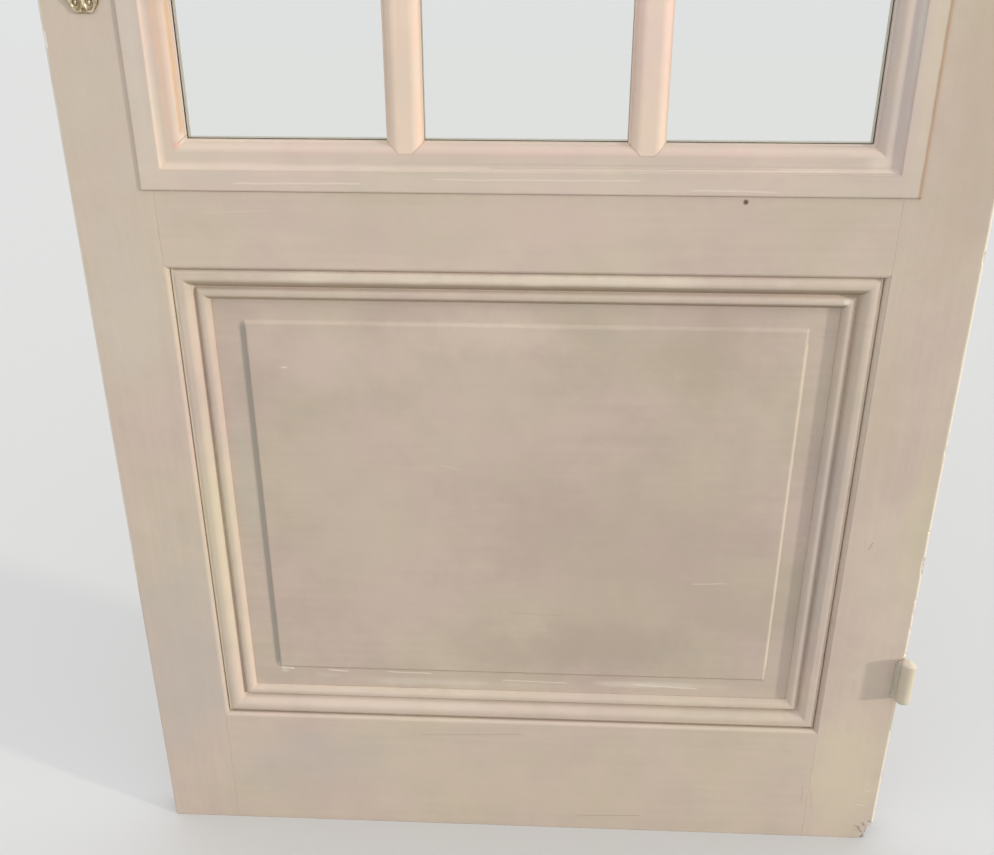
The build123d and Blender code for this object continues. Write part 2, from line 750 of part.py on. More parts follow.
with BuildPart() as lock_case:
    block((faceplate_thickness, case_back), (case_front, inside_depths[1]), case_heights)
    block(inside_x, inside_depths, inside_heights, mode=Mode.SUBTRACT)
    stump_height = (tail_heights[0] + tail_heights[1]) / 2
    inner_face = inside_depths[0]
    inner_length = inside_depths[1] - inner_face
    round_bar(at(stump_x, inner_face, stump_height), backward, stump_radius, inner_length)
    for x, height in boss_places:
        round_bar(at(x, inner_face, height), backward, boss_radius, inner_length)
    block((rail_start, inside_x[1]), inside_depths, (rail_foot, rail_foot + case_wall))
    block(post_x, inside_depths, widened(spring_heights, post_wall))
    block(post_x, inside_depths, spring_heights, mode=Mode.SUBTRACT)
    round_bar(at(backset, case_front, spindle_height), backward, journal_radius + bearing_gap,
              case_wall, mode=Mode.SUBTRACT)
    keyhole((case_front, inner_face))
    lock_cover_screws(gap=screw_gap, mode=Mode.SUBTRACT)
save(lock_case.part, "lock_case")

with BuildPart() as lock_cover:
    block((faceplate_thickness, case_back), (inside_depths[1], case_rear), case_heights)
    round_bar(at(backset, inside_depths[1], spindle_height), backward,
              journal_radius + bearing_gap, case_wall, mode=Mode.SUBTRACT)
    keyhole((inside_depths[1], case_rear))
    lock_cover_screws(gap=screw_gap, mode=Mode.SUBTRACT)
save(lock_cover.part, "lock_cover")

with BuildPart() as lock_screws:
    lock_cover_screws()
    faceplate_screws()
save(lock_screws.part, "lock_screws")

# Follower: turns with the spindle in the case and the cover. Its upper arm draws the latch back
# and its lower arm works against the latch spring.
with BuildPart() as follower:
    axle = at(backset, case_front, spindle_height)
    round_bar(axle, backward, journal_radius, case_thickness)
    hub_depths = widened(inside_depths, -running_gap)
    round_bar(at(backset, hub_depths[0], spindle_height), backward, follower_radius,
              hub_depths[1] - hub_depths[0])
    with BuildSketch(behind(tail_depths[1])) as arms:
        with Locations((backset, spindle_height + arm_reach), (backset, spindle_height - arm_reach)):
            Circle(arm_tip_radius)
        with Locations((backset, spindle_height)):
            Rectangle(2 * arm_tip_radius, 2 * arm_reach)
    extrude(arms.sketch, amount=tail_thickness)
    block((backset - socket_side / 2, backset + socket_side / 2), (case_front, case_rear),
          (spindle_height - socket_side / 2, spindle_height + socket_side / 2), mode=Mode.SUBTRACT)
save(follower.part, "follower")

# Latch bolt: bevelled towards the back, the way the door closes, with a tail whose lug hangs in
# front of the follower's upper arm.
lug_x = backset + arm_tip_radius + running_gap
with BuildPart() as latch_bolt:
    with BuildSketch(Plane(at(0, 0, latch_heights[0]), x_dir=rightward, z_dir=upright)):
        with BuildLine():
            Polyline((latch_head_length, bolt_depths[0]), (-latch_throw, bolt_depths[0]),
                     (-latch_throw, bolt_depths[0] + latch_nose),
                     (-latch_shoulder, bolt_depths[1]), (latch_head_length, bolt_depths[1]),
                     close=True)
        make_face()
    extrude(amount=latch_height)
    block((latch_head_length, lug_x + lug_thickness), tail_depths,
          (latch_heights[1] - tail_width, latch_heights[1]))
    block((lug_x, lug_x + lug_thickness), tail_depths, (spindle_height + lug_rise, latch_heights[1]))
save(latch_bolt.part, "latch_bolt")

# Latch spring: a bent strip, held in the case's post and bearing on the follower's lower arm.
strip_x = backset - arm_tip_radius - running_gap - spring_thickness
bend_x = strip_x - spring_bend
bend_height = spring_heights[1] + spring_bend
spring_tip = spindle_height - follower_radius - spring_end_gap
with BuildPart() as latch_spring:
    with BuildSketch(behind(tail_depths[1])):
        with BuildLine():
            Polyline((bend_x, spring_heights[0]), (post_x[0], spring_heights[0]),
                     (post_x[0], spring_heights[1]), (bend_x, spring_heights[1]))
            TangentArc((bend_x, spring_heights[1]), (strip_x, bend_height), tangent=(1, 0))
            Polyline((strip_x, bend_height), (strip_x, spring_tip),
                     (strip_x + spring_thickness, spring_tip),
                     (strip_x + spring_thickness, bend_height))
            TangentArc((strip_x + spring_thickness, bend_height), (bend_x, spring_heights[0]),
                       tangent=(0, -1))
        make_face()
    extrude(amount=tail_thickness)
save(latch_spring.part, "latch_spring")

# Dead bolt: its tail is slotted over the case's stump and notched below for the key's bit.
slot_middle = stump_x + dead_bolt_throw / 2
with BuildPart() as dead_bolt:
    block((0, dead_bolt_head_length), bolt_depths, dead_bolt_heights)
    block((dead_bolt_head_length, dead_bolt_end), tail_depths, tail_heights)
    with BuildSketch(behind(tail_depths[1])):
        with Locations((slot_middle, stump_height)):
            SlotCenterToCenter(dead_bolt_throw, 2 * (stump_radius + running_gap))
        with Locations((backset, dead_bolt_foot - key_notch_drop)):
            Circle(key_notch_radius)
    extrude(amount=tail_thickness, mode=Mode.SUBTRACT)
save(dead_bolt.part, "dead_bolt")

# Bolt spring: an arched strip, riveted to the tail, whose crown rubs under the case's rail and
# keeps the dead bolt where the key leaves it.
arch_start = bolt_spring_start + bolt_spring_foot
arch_end = arch_start + bolt_spring_span
arch_middle = (arch_start + arch_end) / 2
strip_top = tail_heights[1] + spring_thickness
with BuildPart() as bolt_spring:
    with BuildSketch(behind(tail_depths[1])):
        with BuildLine():
            ThreePointArc((arch_start, tail_heights[1]), (arch_middle, spring_top - spring_thickness),
                          (arch_end, tail_heights[1]))
            Line((arch_end, tail_heights[1]), (arch_end, strip_top))
            ThreePointArc((arch_end, strip_top), (arch_middle, spring_top), (arch_start, strip_top))
            Polyline((arch_start, strip_top), (bolt_spring_start, strip_top),
                     (bolt_spring_start, tail_heights[1]), (arch_start, tail_heights[1]))
        make_face()
    extrude(amount=tail_thickness)
save(bolt_spring.part, "bolt_spring")

# Spindle: a square bar through the follower, whose ends lie in the levers' sockets.
half_spindle = spindle_side / 2
with BuildPart() as spindle:
    block((backset - half_spindle, backset + half_spindle),
          (-spindle_end, leaf_thickness + spindle_end),
          (spindle_height - half_spindle, spindle_height + half_spindle))
    for depth in (-pin_depth, leaf_thickness + pin_depth):
        round_bar(at(backset, depth, spindle_height - half_spindle), upright,
                  pin_radius, spindle_side, mode=Mode.SUBTRACT)
save(spindle.part, "spindle")

# Levers: a turned neck that runs in the plate's collar, and a grip that swells, droops to its tip
# and has chamfered arrises. The back lever is the mirror image of the front one.
collar_front = -(plate_thickness + collar_height)
shoulder_back = collar_front - running_gap
shoulder_front = shoulder_back - lever_shoulder
grip_plane = Plane(at(backset, -grip_back, spindle_height), x_dir=rightward, z_dir=(0, -1, 0))
with BuildPart() as grip:
    with BuildSketch(grip_plane):
        with BuildLine():
            top = TangentArc((0, grip_root), grip_crown, tangent=(1, 0))
            TangentArc(grip_crown, grip_tip, tangent=top % 1)
            ThreePointArc(grip_tip, grip_tip_side, grip_tip_foot)
            TangentArc((0, -grip_root), grip_tip_foot, tangent=(1, 0))
            Line((0, grip_root), (0, -grip_root))
        make_face()
    extrude(amount=grip_front - grip_back)
    arrises = grip.edges().filter_by(Plane.XZ)
    chamfer(arrises, length=grip_chamfer)
with BuildPart() as lever_front:
    with BuildSketch(Plane(at(backset, 0, spindle_height), x_dir=rightward, z_dir=upright)):
        with BuildLine():
            Polyline((0, -lever_head_end), (0, -lever_clearance), (neck_radius, -lever_clearance),
                     (neck_radius, shoulder_back), (lever_shoulder_radius, shoulder_back),
                     (lever_stem_radius, shoulder_front),
                     (lever_head_radius, lever_head_bevel - lever_head_end),
                     (lever_head_radius - lever_head_bevel, -lever_head_end), close=True)
        make_face()
    revolve(axis=Axis(at(backset, 0, spindle_height), backward))
    add(grip.part)
    block((backset - socket_side / 2, backset + socket_side / 2),
          (-spindle_end - socket_spare, -lever_clearance),
          (spindle_height - socket_side / 2, spindle_height + socket_side / 2), mode=Mode.SUBTRACT)
    round_bar(at(backset, -pin_depth, spindle_height - lever_shoulder_radius), upright,
              pin_radius, 2 * lever_shoulder_radius, mode=Mode.SUBTRACT)
save(lever_front.part, "lever_front")

with BuildPart() as lever_back:
    mirror(lever_front.part, about=behind(middle_depth))
save(lever_back.part, "lever_back")

# Lever pins: each goes through a neck and the spindle.
with BuildPart() as lever_pins:
    for depth in (-pin_depth, leaf_thickness + pin_depth):
        round_bar(at(backset, depth, spindle_height - lever_stem_radius), upright,
                  pin_radius - socket_play, 2 * lever_stem_radius)
save(lever_pins.part, "lever_pins")

# Backplates: cast plates with a lobed foot and head and a sloping edge, a collar for the lever and
# a keyhole.
half_plate = (plate_heights[1] - plate_heights[0]) / 2
plate_middle = at(backset, 0, plate_heights[0] + half_plate)
plate_shrink = (1 - plate_slope / plate_waist, 1 - plate_slope / half_plate, 1)
with BuildPart() as plate_blank:
    with BuildSketch() as outline:
        with BuildLine():
            start = (0, plate_dent - half_plate)
            for passed, end in plate_arcs:
                passed = (passed[0], passed[1] - half_plate)
                end = (end[0], end[1] - half_plate)
                ThreePointArc(start, passed, end)
                start = end
            TangentArc((plate_waist, 0), start, tangent=(0, -1))
            mirror(about=Plane.YZ)
            mirror(about=Plane.XZ)
        make_face()
    with BuildSketch(Plane.XY.offset(plate_thickness)):
        add(scale(outline.sketch, by=plate_shrink, mode=Mode.PRIVATE))
    loft()

with BuildPart() as backplate_front:
    with Locations(Plane(plate_middle, x_dir=rightward, z_dir=(0, -1, 0))):
        add(plate_blank.part)
    round_bar(at(backset, -plate_thickness, spindle_height), (0, -1, 0), collar_radius,
              collar_height)
    round_bar(at(backset, 0, spindle_height), (0, -1, 0), neck_radius + running_gap,
              plate_thickness + collar_height, mode=Mode.SUBTRACT)
    keyhole((-plate_thickness, 0))
    backplate_screws(gap=screw_gap, mode=Mode.SUBTRACT)
save(backplate_front.part, "backplate_front")

with BuildPart() as backplate_back:
    mirror(backplate_front.part, about=behind(middle_depth))
save(backplate_back.part, "backplate_back")

with BuildPart() as plate_screws:
    backplate_screws()
save(plate_screws.part, "plate_screws")
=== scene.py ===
import bpy
import random
from math import radians
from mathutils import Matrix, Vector


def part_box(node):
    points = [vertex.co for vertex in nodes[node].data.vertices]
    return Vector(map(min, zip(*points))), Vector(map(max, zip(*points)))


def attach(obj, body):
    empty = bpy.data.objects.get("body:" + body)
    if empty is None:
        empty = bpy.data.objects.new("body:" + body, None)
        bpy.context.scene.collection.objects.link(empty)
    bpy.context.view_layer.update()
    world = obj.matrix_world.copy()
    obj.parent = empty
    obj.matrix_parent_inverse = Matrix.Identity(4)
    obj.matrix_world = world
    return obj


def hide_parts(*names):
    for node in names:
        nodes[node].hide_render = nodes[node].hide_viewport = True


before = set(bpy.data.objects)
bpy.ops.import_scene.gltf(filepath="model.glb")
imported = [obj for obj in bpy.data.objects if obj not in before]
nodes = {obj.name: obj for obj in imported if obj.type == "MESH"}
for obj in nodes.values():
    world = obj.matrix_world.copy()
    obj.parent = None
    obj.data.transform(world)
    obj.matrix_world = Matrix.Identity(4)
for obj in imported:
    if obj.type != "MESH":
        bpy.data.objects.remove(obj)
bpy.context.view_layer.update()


# Stiles and rails: softwood, mortised and tenoned. Old beige oil paint covers them, laid on with a
# brush along the grain over older coats. It is rubbed thin on the arrises and cracked at the joints,
# the hanging edge is bruised, and its foot has torn away.

stile_paint = (0.600, 0.497, 0.405)
undercoat = (0.80, 0.52, 0.39)
worn_paint = (0.74, 0.66, 0.54)
# A brown for the hollows: painted shade, with dirt.
hollow_shade_dirt_colour = (0.33, 0.265, 0.185)
# A brown for painted shade on faces turned down.
underside_shade_brown = (0.36, 0.275, 0.175)
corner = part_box("closing_stile")[0]


def at(x, depth, height):
    """A point, from the leaf's own measures in millimetres: from the closing edge, the front face
    and the foot."""
    return corner + Vector((x, depth, height)) / 1000


def put(tree, kind, inputs=(), **settings):
    """Adds a shader node, makes its settings and fills its sockets with values or links."""
    made = tree.nodes.new("ShaderNode" + kind)
    for name, value in settings.items():
        setattr(made, name, value)
    for socket, value in dict(inputs).items():
        if isinstance(value, bpy.types.NodeSocket):
            tree.links.new(value, made.inputs[socket])
        else:
            made.inputs[socket].default_value = value
    return made


def calc(tree, operation, first, second=0.0):
    """One step of arithmetic on values."""
    return put(tree, "Math", {0: first, 1: second}, operation=operation).outputs[0]


def spread(tree, value, low, high, start=0.0, end=1.0):
    """Spreads a value's range from low to high over another range, softly at both ends."""
    sockets = {"Value": value, "From Min": low, "From Max": high, "To Min": start, "To Max": end}
    return put(tree, "MapRange", sockets, interpolation_type="SMOOTHSTEP").outputs[0]


def blend(tree, share, first, second, how="MIX"):
    """Mixes two colours."""
    mixer = put(tree, "Mix", {0: share, 6: first, 7: second}, data_type="RGBA", blend_type=how)
    return mixer.outputs[2]


def cloud(tree, place, scale, detail=3.0, rough=0.55):
    """Soft random patches between 0 and 1."""
    sockets = {"Vector": place, "Scale": scale, "Detail": detail, "Roughness": rough}
    return put(tree, "TexNoise", sockets).outputs["Fac"]


def stretched(tree, place, amount):
    """A place scaled by its own amount each way, so that a pattern runs along the surface."""
    return put(tree, "VectorMath", {0: place, 1: amount}, operation="MULTIPLY").outputs[0]


def new_group(name, sockets_in, sockets_out):
    """An empty shader group with named sockets, each given as a name, a kind and a value."""
    tree = bpy.data.node_groups.new(name, "ShaderNodeTree")
    for label, kind, value in sockets_in:
        made = tree.interface.new_socket(label, in_out="INPUT", socket_type="NodeSocket" + kind)
        if value is not None:
            made.default_value = value
    for label, kind in sockets_out:
        tree.interface.new_socket(label, in_out="OUTPUT", socket_type="NodeSocket" + kind)
    inlet = tree.nodes.new("NodeGroupInput")
    outlet = tree.nodes.new("NodeGroupOutput")
    return tree, inlet.outputs, outlet.inputs


def new_material(name):
    """A material with its shader and the piece's own coordinates."""
    material = bpy.data.materials.new(name)
    material.use_nodes = True
    tree = material.node_tree
    shader = tree.nodes["Principled BSDF"]
    place = tree.nodes.new("ShaderNodeTexCoord").outputs["Object"]
    return material, tree, shader, place


def use_group(tree, group, **values):
    """Places a group in a material with its own values."""
    made = tree.nodes.new("ShaderNodeGroup")
    made.node_tree = group
    for label, value in values.items():
        socket = made.inputs[label.replace("_", " ")]
        if isinstance(value, bpy.types.NodeSocket):
            tree.links.new(value, socket)
        else:
            socket.default_value = value
    return made.outputs


def dress(names, material):
    """Gives CAD nodes their material."""
    for name in names:
        slots = nodes[name].data.materials
        slots.clear()
        slots.append(material)


# The paint's group: brush marks, blotches, rubbed arrises, chips, cracks, and painted shade with dirt
# in the corners.
paint, given, out = new_group(
    "Old brushed paint",
    (("Place", "Vector", None), ("Along", "Vector", (1, 1, 0.05)),
     ("Paint", "Color", (*stile_paint, 1)),
     ("Blotches", "Float", 0.5), ("Rubbing", "Float", 0.5), ("Undercoat", "Float", 0.1),
     ("Cracks", "Float", 0.06), ("Dirt", "Float", 0.4), ("Undersides", "Float", 0.0)),
    (("Color", "Color"), ("Roughness", "Float"), ("Normal", "Vector"), ("Height", "Float")),
)
place = given["Place"]
brushed = stretched(paint, place, given["Along"])
strokes = cloud(paint, brushed, 900, 4, 0.6)
broad_strokes = cloud(paint, brushed, 150, 3, 0.55)
patches = cloud(paint, place, 5, 4, 0.6)
fine_patches = cloud(paint, place, 22, 5, 0.62)
hue_patches = cloud(paint, put(paint, "VectorMath", {0: place, 1: (3, 5, 7)}).outputs[0], 7, 3, 0.5)
pimples = cloud(paint, place, 700, 2, 0.5)
geometry = put(paint, "NewGeometry")
softened = put(paint, "Bevel", {"Radius": 0.0013}, samples=4).outputs[0]
turned = put(paint, "VectorMath", {0: softened, 1: geometry.outputs["Normal"]},
             operation="DOT_PRODUCT")
arris = spread(paint, turned.outputs["Value"], 0.985, 0.80)
hollow_occlusion = put(paint, "AmbientOcclusion", {"Distance": 0.005}, samples=4).outputs["AO"]
occluded_hollows = spread(paint, hollow_occlusion, 0.62, 0.25)
scrapes = spread(paint, cloud(paint, brushed, 60, 5, 0.7), 0.50, 0.64)
rubbed = calc(paint, "MULTIPLY", calc(paint, "MULTIPLY", arris, scrapes), given["Rubbing"])

# Tone: soft light and dark blotches, warmer and cooler by turns, and the brush's streaks.
blotch = spread(paint, blend(paint, 0.4, patches, fine_patches), 0.36, 0.64)
depth = calc(paint, "MULTIPLY", calc(paint, "SUBTRACT", blotch, 0.5), given["Blotches"])
streak = calc(paint, "MULTIPLY", calc(paint, "SUBTRACT", broad_strokes, 0.5), 0.10)
tone = calc(paint, "ADD", 1.0, calc(paint, "ADD", calc(paint, "MULTIPLY", depth, 0.16), streak))
hue = spread(paint, hue_patches, 0.35, 0.65)
tint = blend(paint, hue, (0.995, 1.01, 0.955, 1), (1.012, 0.982, 1.0, 1))
colour = blend(paint, 1.0, given["Paint"], tint, "MULTIPLY")
colour = put(paint, "VectorMath", {0: colour, "Scale": tone}, operation="SCALE").outputs[0]

# Older coats: salmon undercoat in streaks where the light coat is thin, strongest on faces turned
# right towards the lamp, where it is partly painted warm light; and painted shade, brown, on faces
# turned down.
facing = put(paint, "SeparateXYZ", {0: geometry.outputs["Normal"]}).outputs
lamp_side_share = spread(paint, facing["X"], 0.15, 0.6, 0.35, 1.0)
thin = spread(paint, blend(paint, 0.5, broad_strokes, fine_patches), 0.38, 0.60)
undercoat_and_lamp_warmth = calc(paint, "MULTIPLY", calc(paint, "MULTIPLY", thin, lamp_side_share), given["Undercoat"])
colour = blend(paint, undercoat_and_lamp_warmth, colour, (*undercoat, 1))
# Painted shade: faces turned down are blended towards a brown.
painted_underside_shade = calc(paint, "MULTIPLY", spread(paint, facing["Z"], -0.12, -0.55), given["Undersides"])
colour = blend(paint, painted_underside_shade, colour, (*underside_shade_brown, 1))

# Wear: fine cracks along the grain, rubbed arrises with small chips; then painted shade with dirt in
# the hollows.
cells = put(paint, "TexVoronoi", {"Vector": brushed, "Scale": 55}, feature="DISTANCE_TO_EDGE")
cracked = calc(paint, "MULTIPLY", spread(paint, cells.outputs["Distance"], 0.035, 0.012),
               spread(paint, fine_patches, 0.58, 0.70))
cracked = calc(paint, "MULTIPLY", cracked, given["Cracks"])
colour = blend(paint, cracked, colour, (0.22, 0.16, 0.11, 1))
colour = blend(paint, rubbed, colour, (*worn_paint, 1))
chips = spread(paint, cloud(paint, place, 240, 2, 0.4), 0.70, 0.74)
chips = calc(paint, "MULTIPLY", calc(paint, "MULTIPLY", chips, arris), given["Rubbing"])
colour = blend(paint, chips, colour, (0.30, 0.23, 0.17, 1))
# Painted shade with dirt: the hollows that occlusion finds are blended towards a brown.
hollow_shade_and_grime = calc(paint, "MULTIPLY", occluded_hollows, spread(paint, fine_patches, 0.25, 0.6, 0.5, 1.0))
colour = blend(paint, calc(paint, "MULTIPLY", hollow_shade_and_grime, given["Dirt"]), colour, (*hollow_shade_dirt_colour, 1))
paint.links.new(colour, out["Color"])
paint.links.new(spread(paint, fine_patches, 0.3, 0.7, 0.46, 0.62), out["Roughness"])
height = calc(paint, "ADD", calc(paint, "MULTIPLY", strokes, 0.45),
              calc(paint, "MULTIPLY", pimples, 0.3))
height = calc(paint, "SUBTRACT", height, cracked)
paint.links.new(height, out["Height"])
waves = put(paint, "Bump", {"Strength": 0.35, "Distance": 0.0012, "Normal": softened,
                            "Height": cloud(paint, place, 48, 3, 0.5)}).outputs[0]
relief = put(paint, "Bump", {"Strength": 0.4, "Distance": 0.0003, "Height": height, "Normal": waves})
paint.links.new(relief.outputs[0], out["Normal"])


def patch(tree, place, colour, centre, size, tint, amount):
    """Tints a soft patch round a point, whose reach each way is its size in millimetres."""
    off = put(tree, "VectorMath", {0: place, 1: at(*centre)}, operation="SUBTRACT").outputs[0]
    reach = put(tree, "VectorMath", {0: stretched(tree, off, [1000 / side for side in size])},
                operation="LENGTH").outputs["Value"]
    ragged = calc(tree, "MULTIPLY", calc(tree, "SUBTRACT", cloud(tree, place, 18, 5, 0.65), 0.5), 1.8)
    share = spread(tree, calc(tree, "ADD", reach, ragged), 1.1, 0.2, 0.0, amount)
    return blend(tree, share, colour, (*tint, 1))


def scratch(tree, place, colour, start, end, width, tint, amount):
    """Draws a thin wavering line along the surface from one point to another."""
    first, last = at(*start), at(*end)
    axis = (last - first).normalized()
    across = axis.cross(Vector((0, 1, 0)))
    off = put(tree, "VectorMath", {0: place, 1: first}, operation="SUBTRACT").outputs[0]
    along = put(tree, "VectorMath", {0: off, 1: axis}, operation="DOT_PRODUCT").outputs["Value"]
    aside = put(tree, "VectorMath", {0: off, 1: across}, operation="DOT_PRODUCT").outputs["Value"]
    deep = put(tree, "VectorMath", {0: off, 1: (0, 1, 0)}, operation="DOT_PRODUCT").outputs["Value"]
    waver = calc(tree, "MULTIPLY", calc(tree, "SUBTRACT", cloud(tree, place, 60, 3), 0.5), 0.0016)
    apart = calc(tree, "ABSOLUTE", calc(tree, "ADD", aside, waver))
    length = (last - first).length
    share = spread(tree, apart, width / 1000, width / 3000, 0.0, amount)
    fading = min(0.15 * length, 0.006)
    share = calc(tree, "MULTIPLY", share, spread(tree, along, 0, fading))
    share = calc(tree, "MULTIPLY", share, spread(tree, along, length, length - fading))
    share = calc(tree, "MULTIPLY", share, spread(tree, calc(tree, "ABSOLUTE", deep), 0.012, 0.006))
    return blend(tree, share, colour, (*tint, 1))


def painted(name, patches=(), scratches=(), **values):
    """A painted finish, with its own patches and scratches."""
    material, tree, shader, place = new_material(name)
    made = use_group(tree, paint, Place=place, **values)
    for socket in ("Roughness", "Normal"):
        tree.links.new(made[socket], shader.inputs[socket])
    colour = made["Color"]
    for mark in patches:
        colour = patch(tree, place, colour, *mark)
    for mark in scratches:
        colour = scratch(tree, place, colour, *mark)
    tree.links.new(colour, shader.inputs["Base Color"])
    return material


grey_lilac = (0.52, 0.47, 0.43)
old_ochre = (0.56, 0.45, 0.32)
pale_cream = (0.70, 0.60, 0.48)
hairline = (0.25, 0.18, 0.13)
upright_grain = (1, 1, 0.05)
level_grain = (0.05, 1, 1)
closing_paint = painted(
    "Paint on closing stile", Along=upright_grain, Dirt=0.12,
    patches=(((40, 0, 230), (70, 8, 190), grey_lilac, 0.55),
             ((40, 0, 870), (60, 8, 140), (0.62, 0.53, 0.43), 0.6),
             ((36, 0, 650), (55, 8, 140), (0.64, 0.555, 0.47), 0.5)),
    scratches=(((78, 0, 762), (77, 0, 716), 0.6, hairline, 0.4),
               ((20, 0, 640), (24, 0, 600), 0.6, pale_cream, 0.7),
               ((0.4, 0, 1400), (0.4, 0, 330), 1.9, (0.76, 0.76, 0.66), 0.7),
               ((1.2, 0, 900), (1.6, 0, 884), 1.6, (0.86, 0.84, 0.76), 0.7)),
)
hanging_paint = painted(
    "Paint on hanging stile", Along=upright_grain, Dirt=0.12, Rubbing=1.0,
    patches=(((800, 0, 860), (45, 8, 220), (0.53, 0.43, 0.32), 0.65),
             # A lighter, yellower patch at the stile's foot: painted warm light.
             ((790, 0, 110), (60, 8, 150), (0.70, 0.60, 0.44), 0.6),
             ((762, 0, 560), (20, 8, 120), old_ochre, 0.3),
             ((815, 0, 420), (16, 8, 150), (0.62, 0.54, 0.38), 0.6),
             ((798, 0, 330), (40, 8, 130), (0.67, 0.56, 0.45), 0.45)),
    scratches=(((774, 0, 408), (770, 0, 398), 0.9, hairline, 0.5),
               ((752, 0, 72), (756, 0, 44), 0.6, hairline, 0.3),
               # A pale line down the hanging edge: partly paint rubbed off the arris, partly a
               # painted highlight where the arris faces the lamp.
               ((829.0, 0, -500), (829.0, 0, 2600), 3.0, (0.82, 0.75, 0.60), 0.85),
               ((806, 0, 52), (818, 0, 50), 0.9, (0.82, 0.74, 0.62), 0.6),
               ((812, 0, 75), (820, 0, 71), 0.8, (0.82, 0.74, 0.62), 0.5)),
)
level_paint = painted(
    "Paint on level wood", Along=level_grain, Dirt=0.12,
    patches=(((250, 0, 735), (150, 8, 30), (0.59, 0.485, 0.40), 0.5),
             ((420, 0, 738), (260, 8, 25), (0.64, 0.50, 0.42), 0.5),
             ((430, 0, 60), (260, 8, 60), (0.64, 0.53, 0.41), 0.5),
             ((170, 0, 90), (110, 8, 70), grey_lilac, 0.4),
             ((611.3, 0, 757.4), (2.8, 3, 2.8), (0.13, 0.07, 0.045), 1.0)),
    scratches=(((300, 0, 135), (420, 0, 141), 0.6, hairline, 0.4),
               ((742, 0, 78), (743, 0, 52), 0.6, hairline, 0.35),
               ((480, 0, 20), (560, 0, 23), 0.7, hairline, 0.5),
               ((120, 0, 742), (186, 0, 745), 0.5, pale_cream, 0.6)),
)
dress(("closing_stile",), closing_paint)
dress(("top_rail", "middle_rail", "bottom_rail"), level_paint)


def only(*chosen):
    """Selects these objects and nothing else. The last one is active."""
    bpy.ops.object.select_all(action="DESELECT")
    for item in chosen:
        item.select_set(True)
    bpy.context.view_layer.objects.active = chosen[-1]


def to_piece(name, material):
    """Names the active object and gives it a material."""
    piece = bpy.context.object
    piece.name = name
    piece.data.name = name
    piece.data.materials.clear()
    piece.data.materials.append(material)
    return piece


def copied(names, piece_name, material):
    """One new piece from copies of CAD nodes, with their loose triangles merged."""
    copies = []
    for name in names:
        twin = bpy.data.objects.new(name + "_copy", nodes[name].data.copy())
        bpy.context.collection.objects.link(twin)
        copies.append(twin)
    only(*copies)
    if len(copies) > 1:
        bpy.ops.object.join()
    bpy.ops.object.mode_set(mode="EDIT")
    bpy.ops.mesh.select_all(action="SELECT")
    bpy.ops.mesh.remove_doubles(threshold=0.00002)
    bpy.ops.mesh.dissolve_limited(angle_limit=radians(0.5))
    bpy.ops.object.mode_set(mode="OBJECT")
    return to_piece(piece_name, material)


def finished(piece, kind, **settings):
    """Applies one modifier to a piece."""
    only(piece)
    work = piece.modifiers.new(kind, kind)
    for name, value in settings.items():
        setattr(work, name, value)
    bpy.ops.object.modifier_apply(modifier=work.name)


def carved(piece, cutter, **settings):
    """Cuts a piece with a cutter, which is used up."""
    finished(piece, "BOOLEAN", object=cutter, solver="EXACT", use_self=True,
             operation="DIFFERENCE", **settings)
    bpy.data.objects.remove(cutter)


bare_wood, tree, shader, place = new_material("Bare weathered wood")
fibres = cloud(tree, stretched(tree, place, (1, 1, 0.04)), 1500, 4, 0.6)
wood_tone = blend(tree, spread(tree, fibres, 0.35, 0.65), (0.42, 0.35, 0.32, 1),
                  (0.68, 0.61, 0.57, 1))
tree.links.new(blend(tree, spread(tree, cloud(tree, place, 160, 4), 0.55, 0.7, 0, 0.6), wood_tone,
                     (0.16, 0.12, 0.10, 1)), shader.inputs["Base Color"])
tree.links.new(spread(tree, fibres, 0.2, 0.8, 0.75, 0.95), shader.inputs["Roughness"])
tree.links.new(put(tree, "Bump", {"Strength": 0.8, "Distance": 0.0006, "Height": fibres}).outputs[0],
               shader.inputs["Normal"])


def shaped(size, centre):
    """Stretches the new part of a mesh to a size in millimetres, about its middle."""
    bpy.ops.transform.resize(value=[side / 1000 for side in size], center_override=centre)


def in_edit_mode():
    """Opens the active object in edit mode, with nothing selected and faces to be picked."""
    bpy.ops.object.mode_set(mode="EDIT")
    bpy.ops.mesh.select_mode(type="FACE")
    bpy.ops.mesh.select_all(action="DESELECT")


def placed():
    """Leaves edit mode and moves the active object's place into its mesh."""
    bpy.ops.object.mode_set(mode="OBJECT")
    bpy.ops.object.transform_apply(location=True, rotation=True, scale=True)


# The hanging edge: its arrises are rounded by use and bruised all the way up. A square bar on edge,
# whose middle stands a little outside, planes each arris.
bruises = random.Random(4)
leaf_width, leaf_height = 830, 2040
bar_side, bar_away = 0.008, 1.7
hanging_stile = copied(["hanging_stile"], "hanging_stile_worn", hanging_paint)
for depth, away in ((0, -1), (36, 1)):
    bpy.ops.object.select_all(action="DESELECT")
    middle = at(leaf_width + bar_away, depth + bar_away * away, leaf_height / 2)
    bpy.ops.mesh.primitive_cube_add(size=1, location=middle, rotation=(0, 0, radians(45)))
    bpy.ops.transform.resize(value=(bar_side, bar_side, 2.1), orient_type="LOCAL")
    bpy.ops.object.transform_apply(location=True, rotation=True, scale=True)
    carved(hanging_stile, bpy.context.object)
bpy.ops.object.select_all(action="DESELECT")
bpy.ops.mesh.primitive_ico_sphere_add(subdivisions=2, radius=0.002,
                                      location=at(leaf_width + 0.6, -0.6, 400))
nicks = bpy.context.object
placed()
in_edit_mode()
height = 30.0
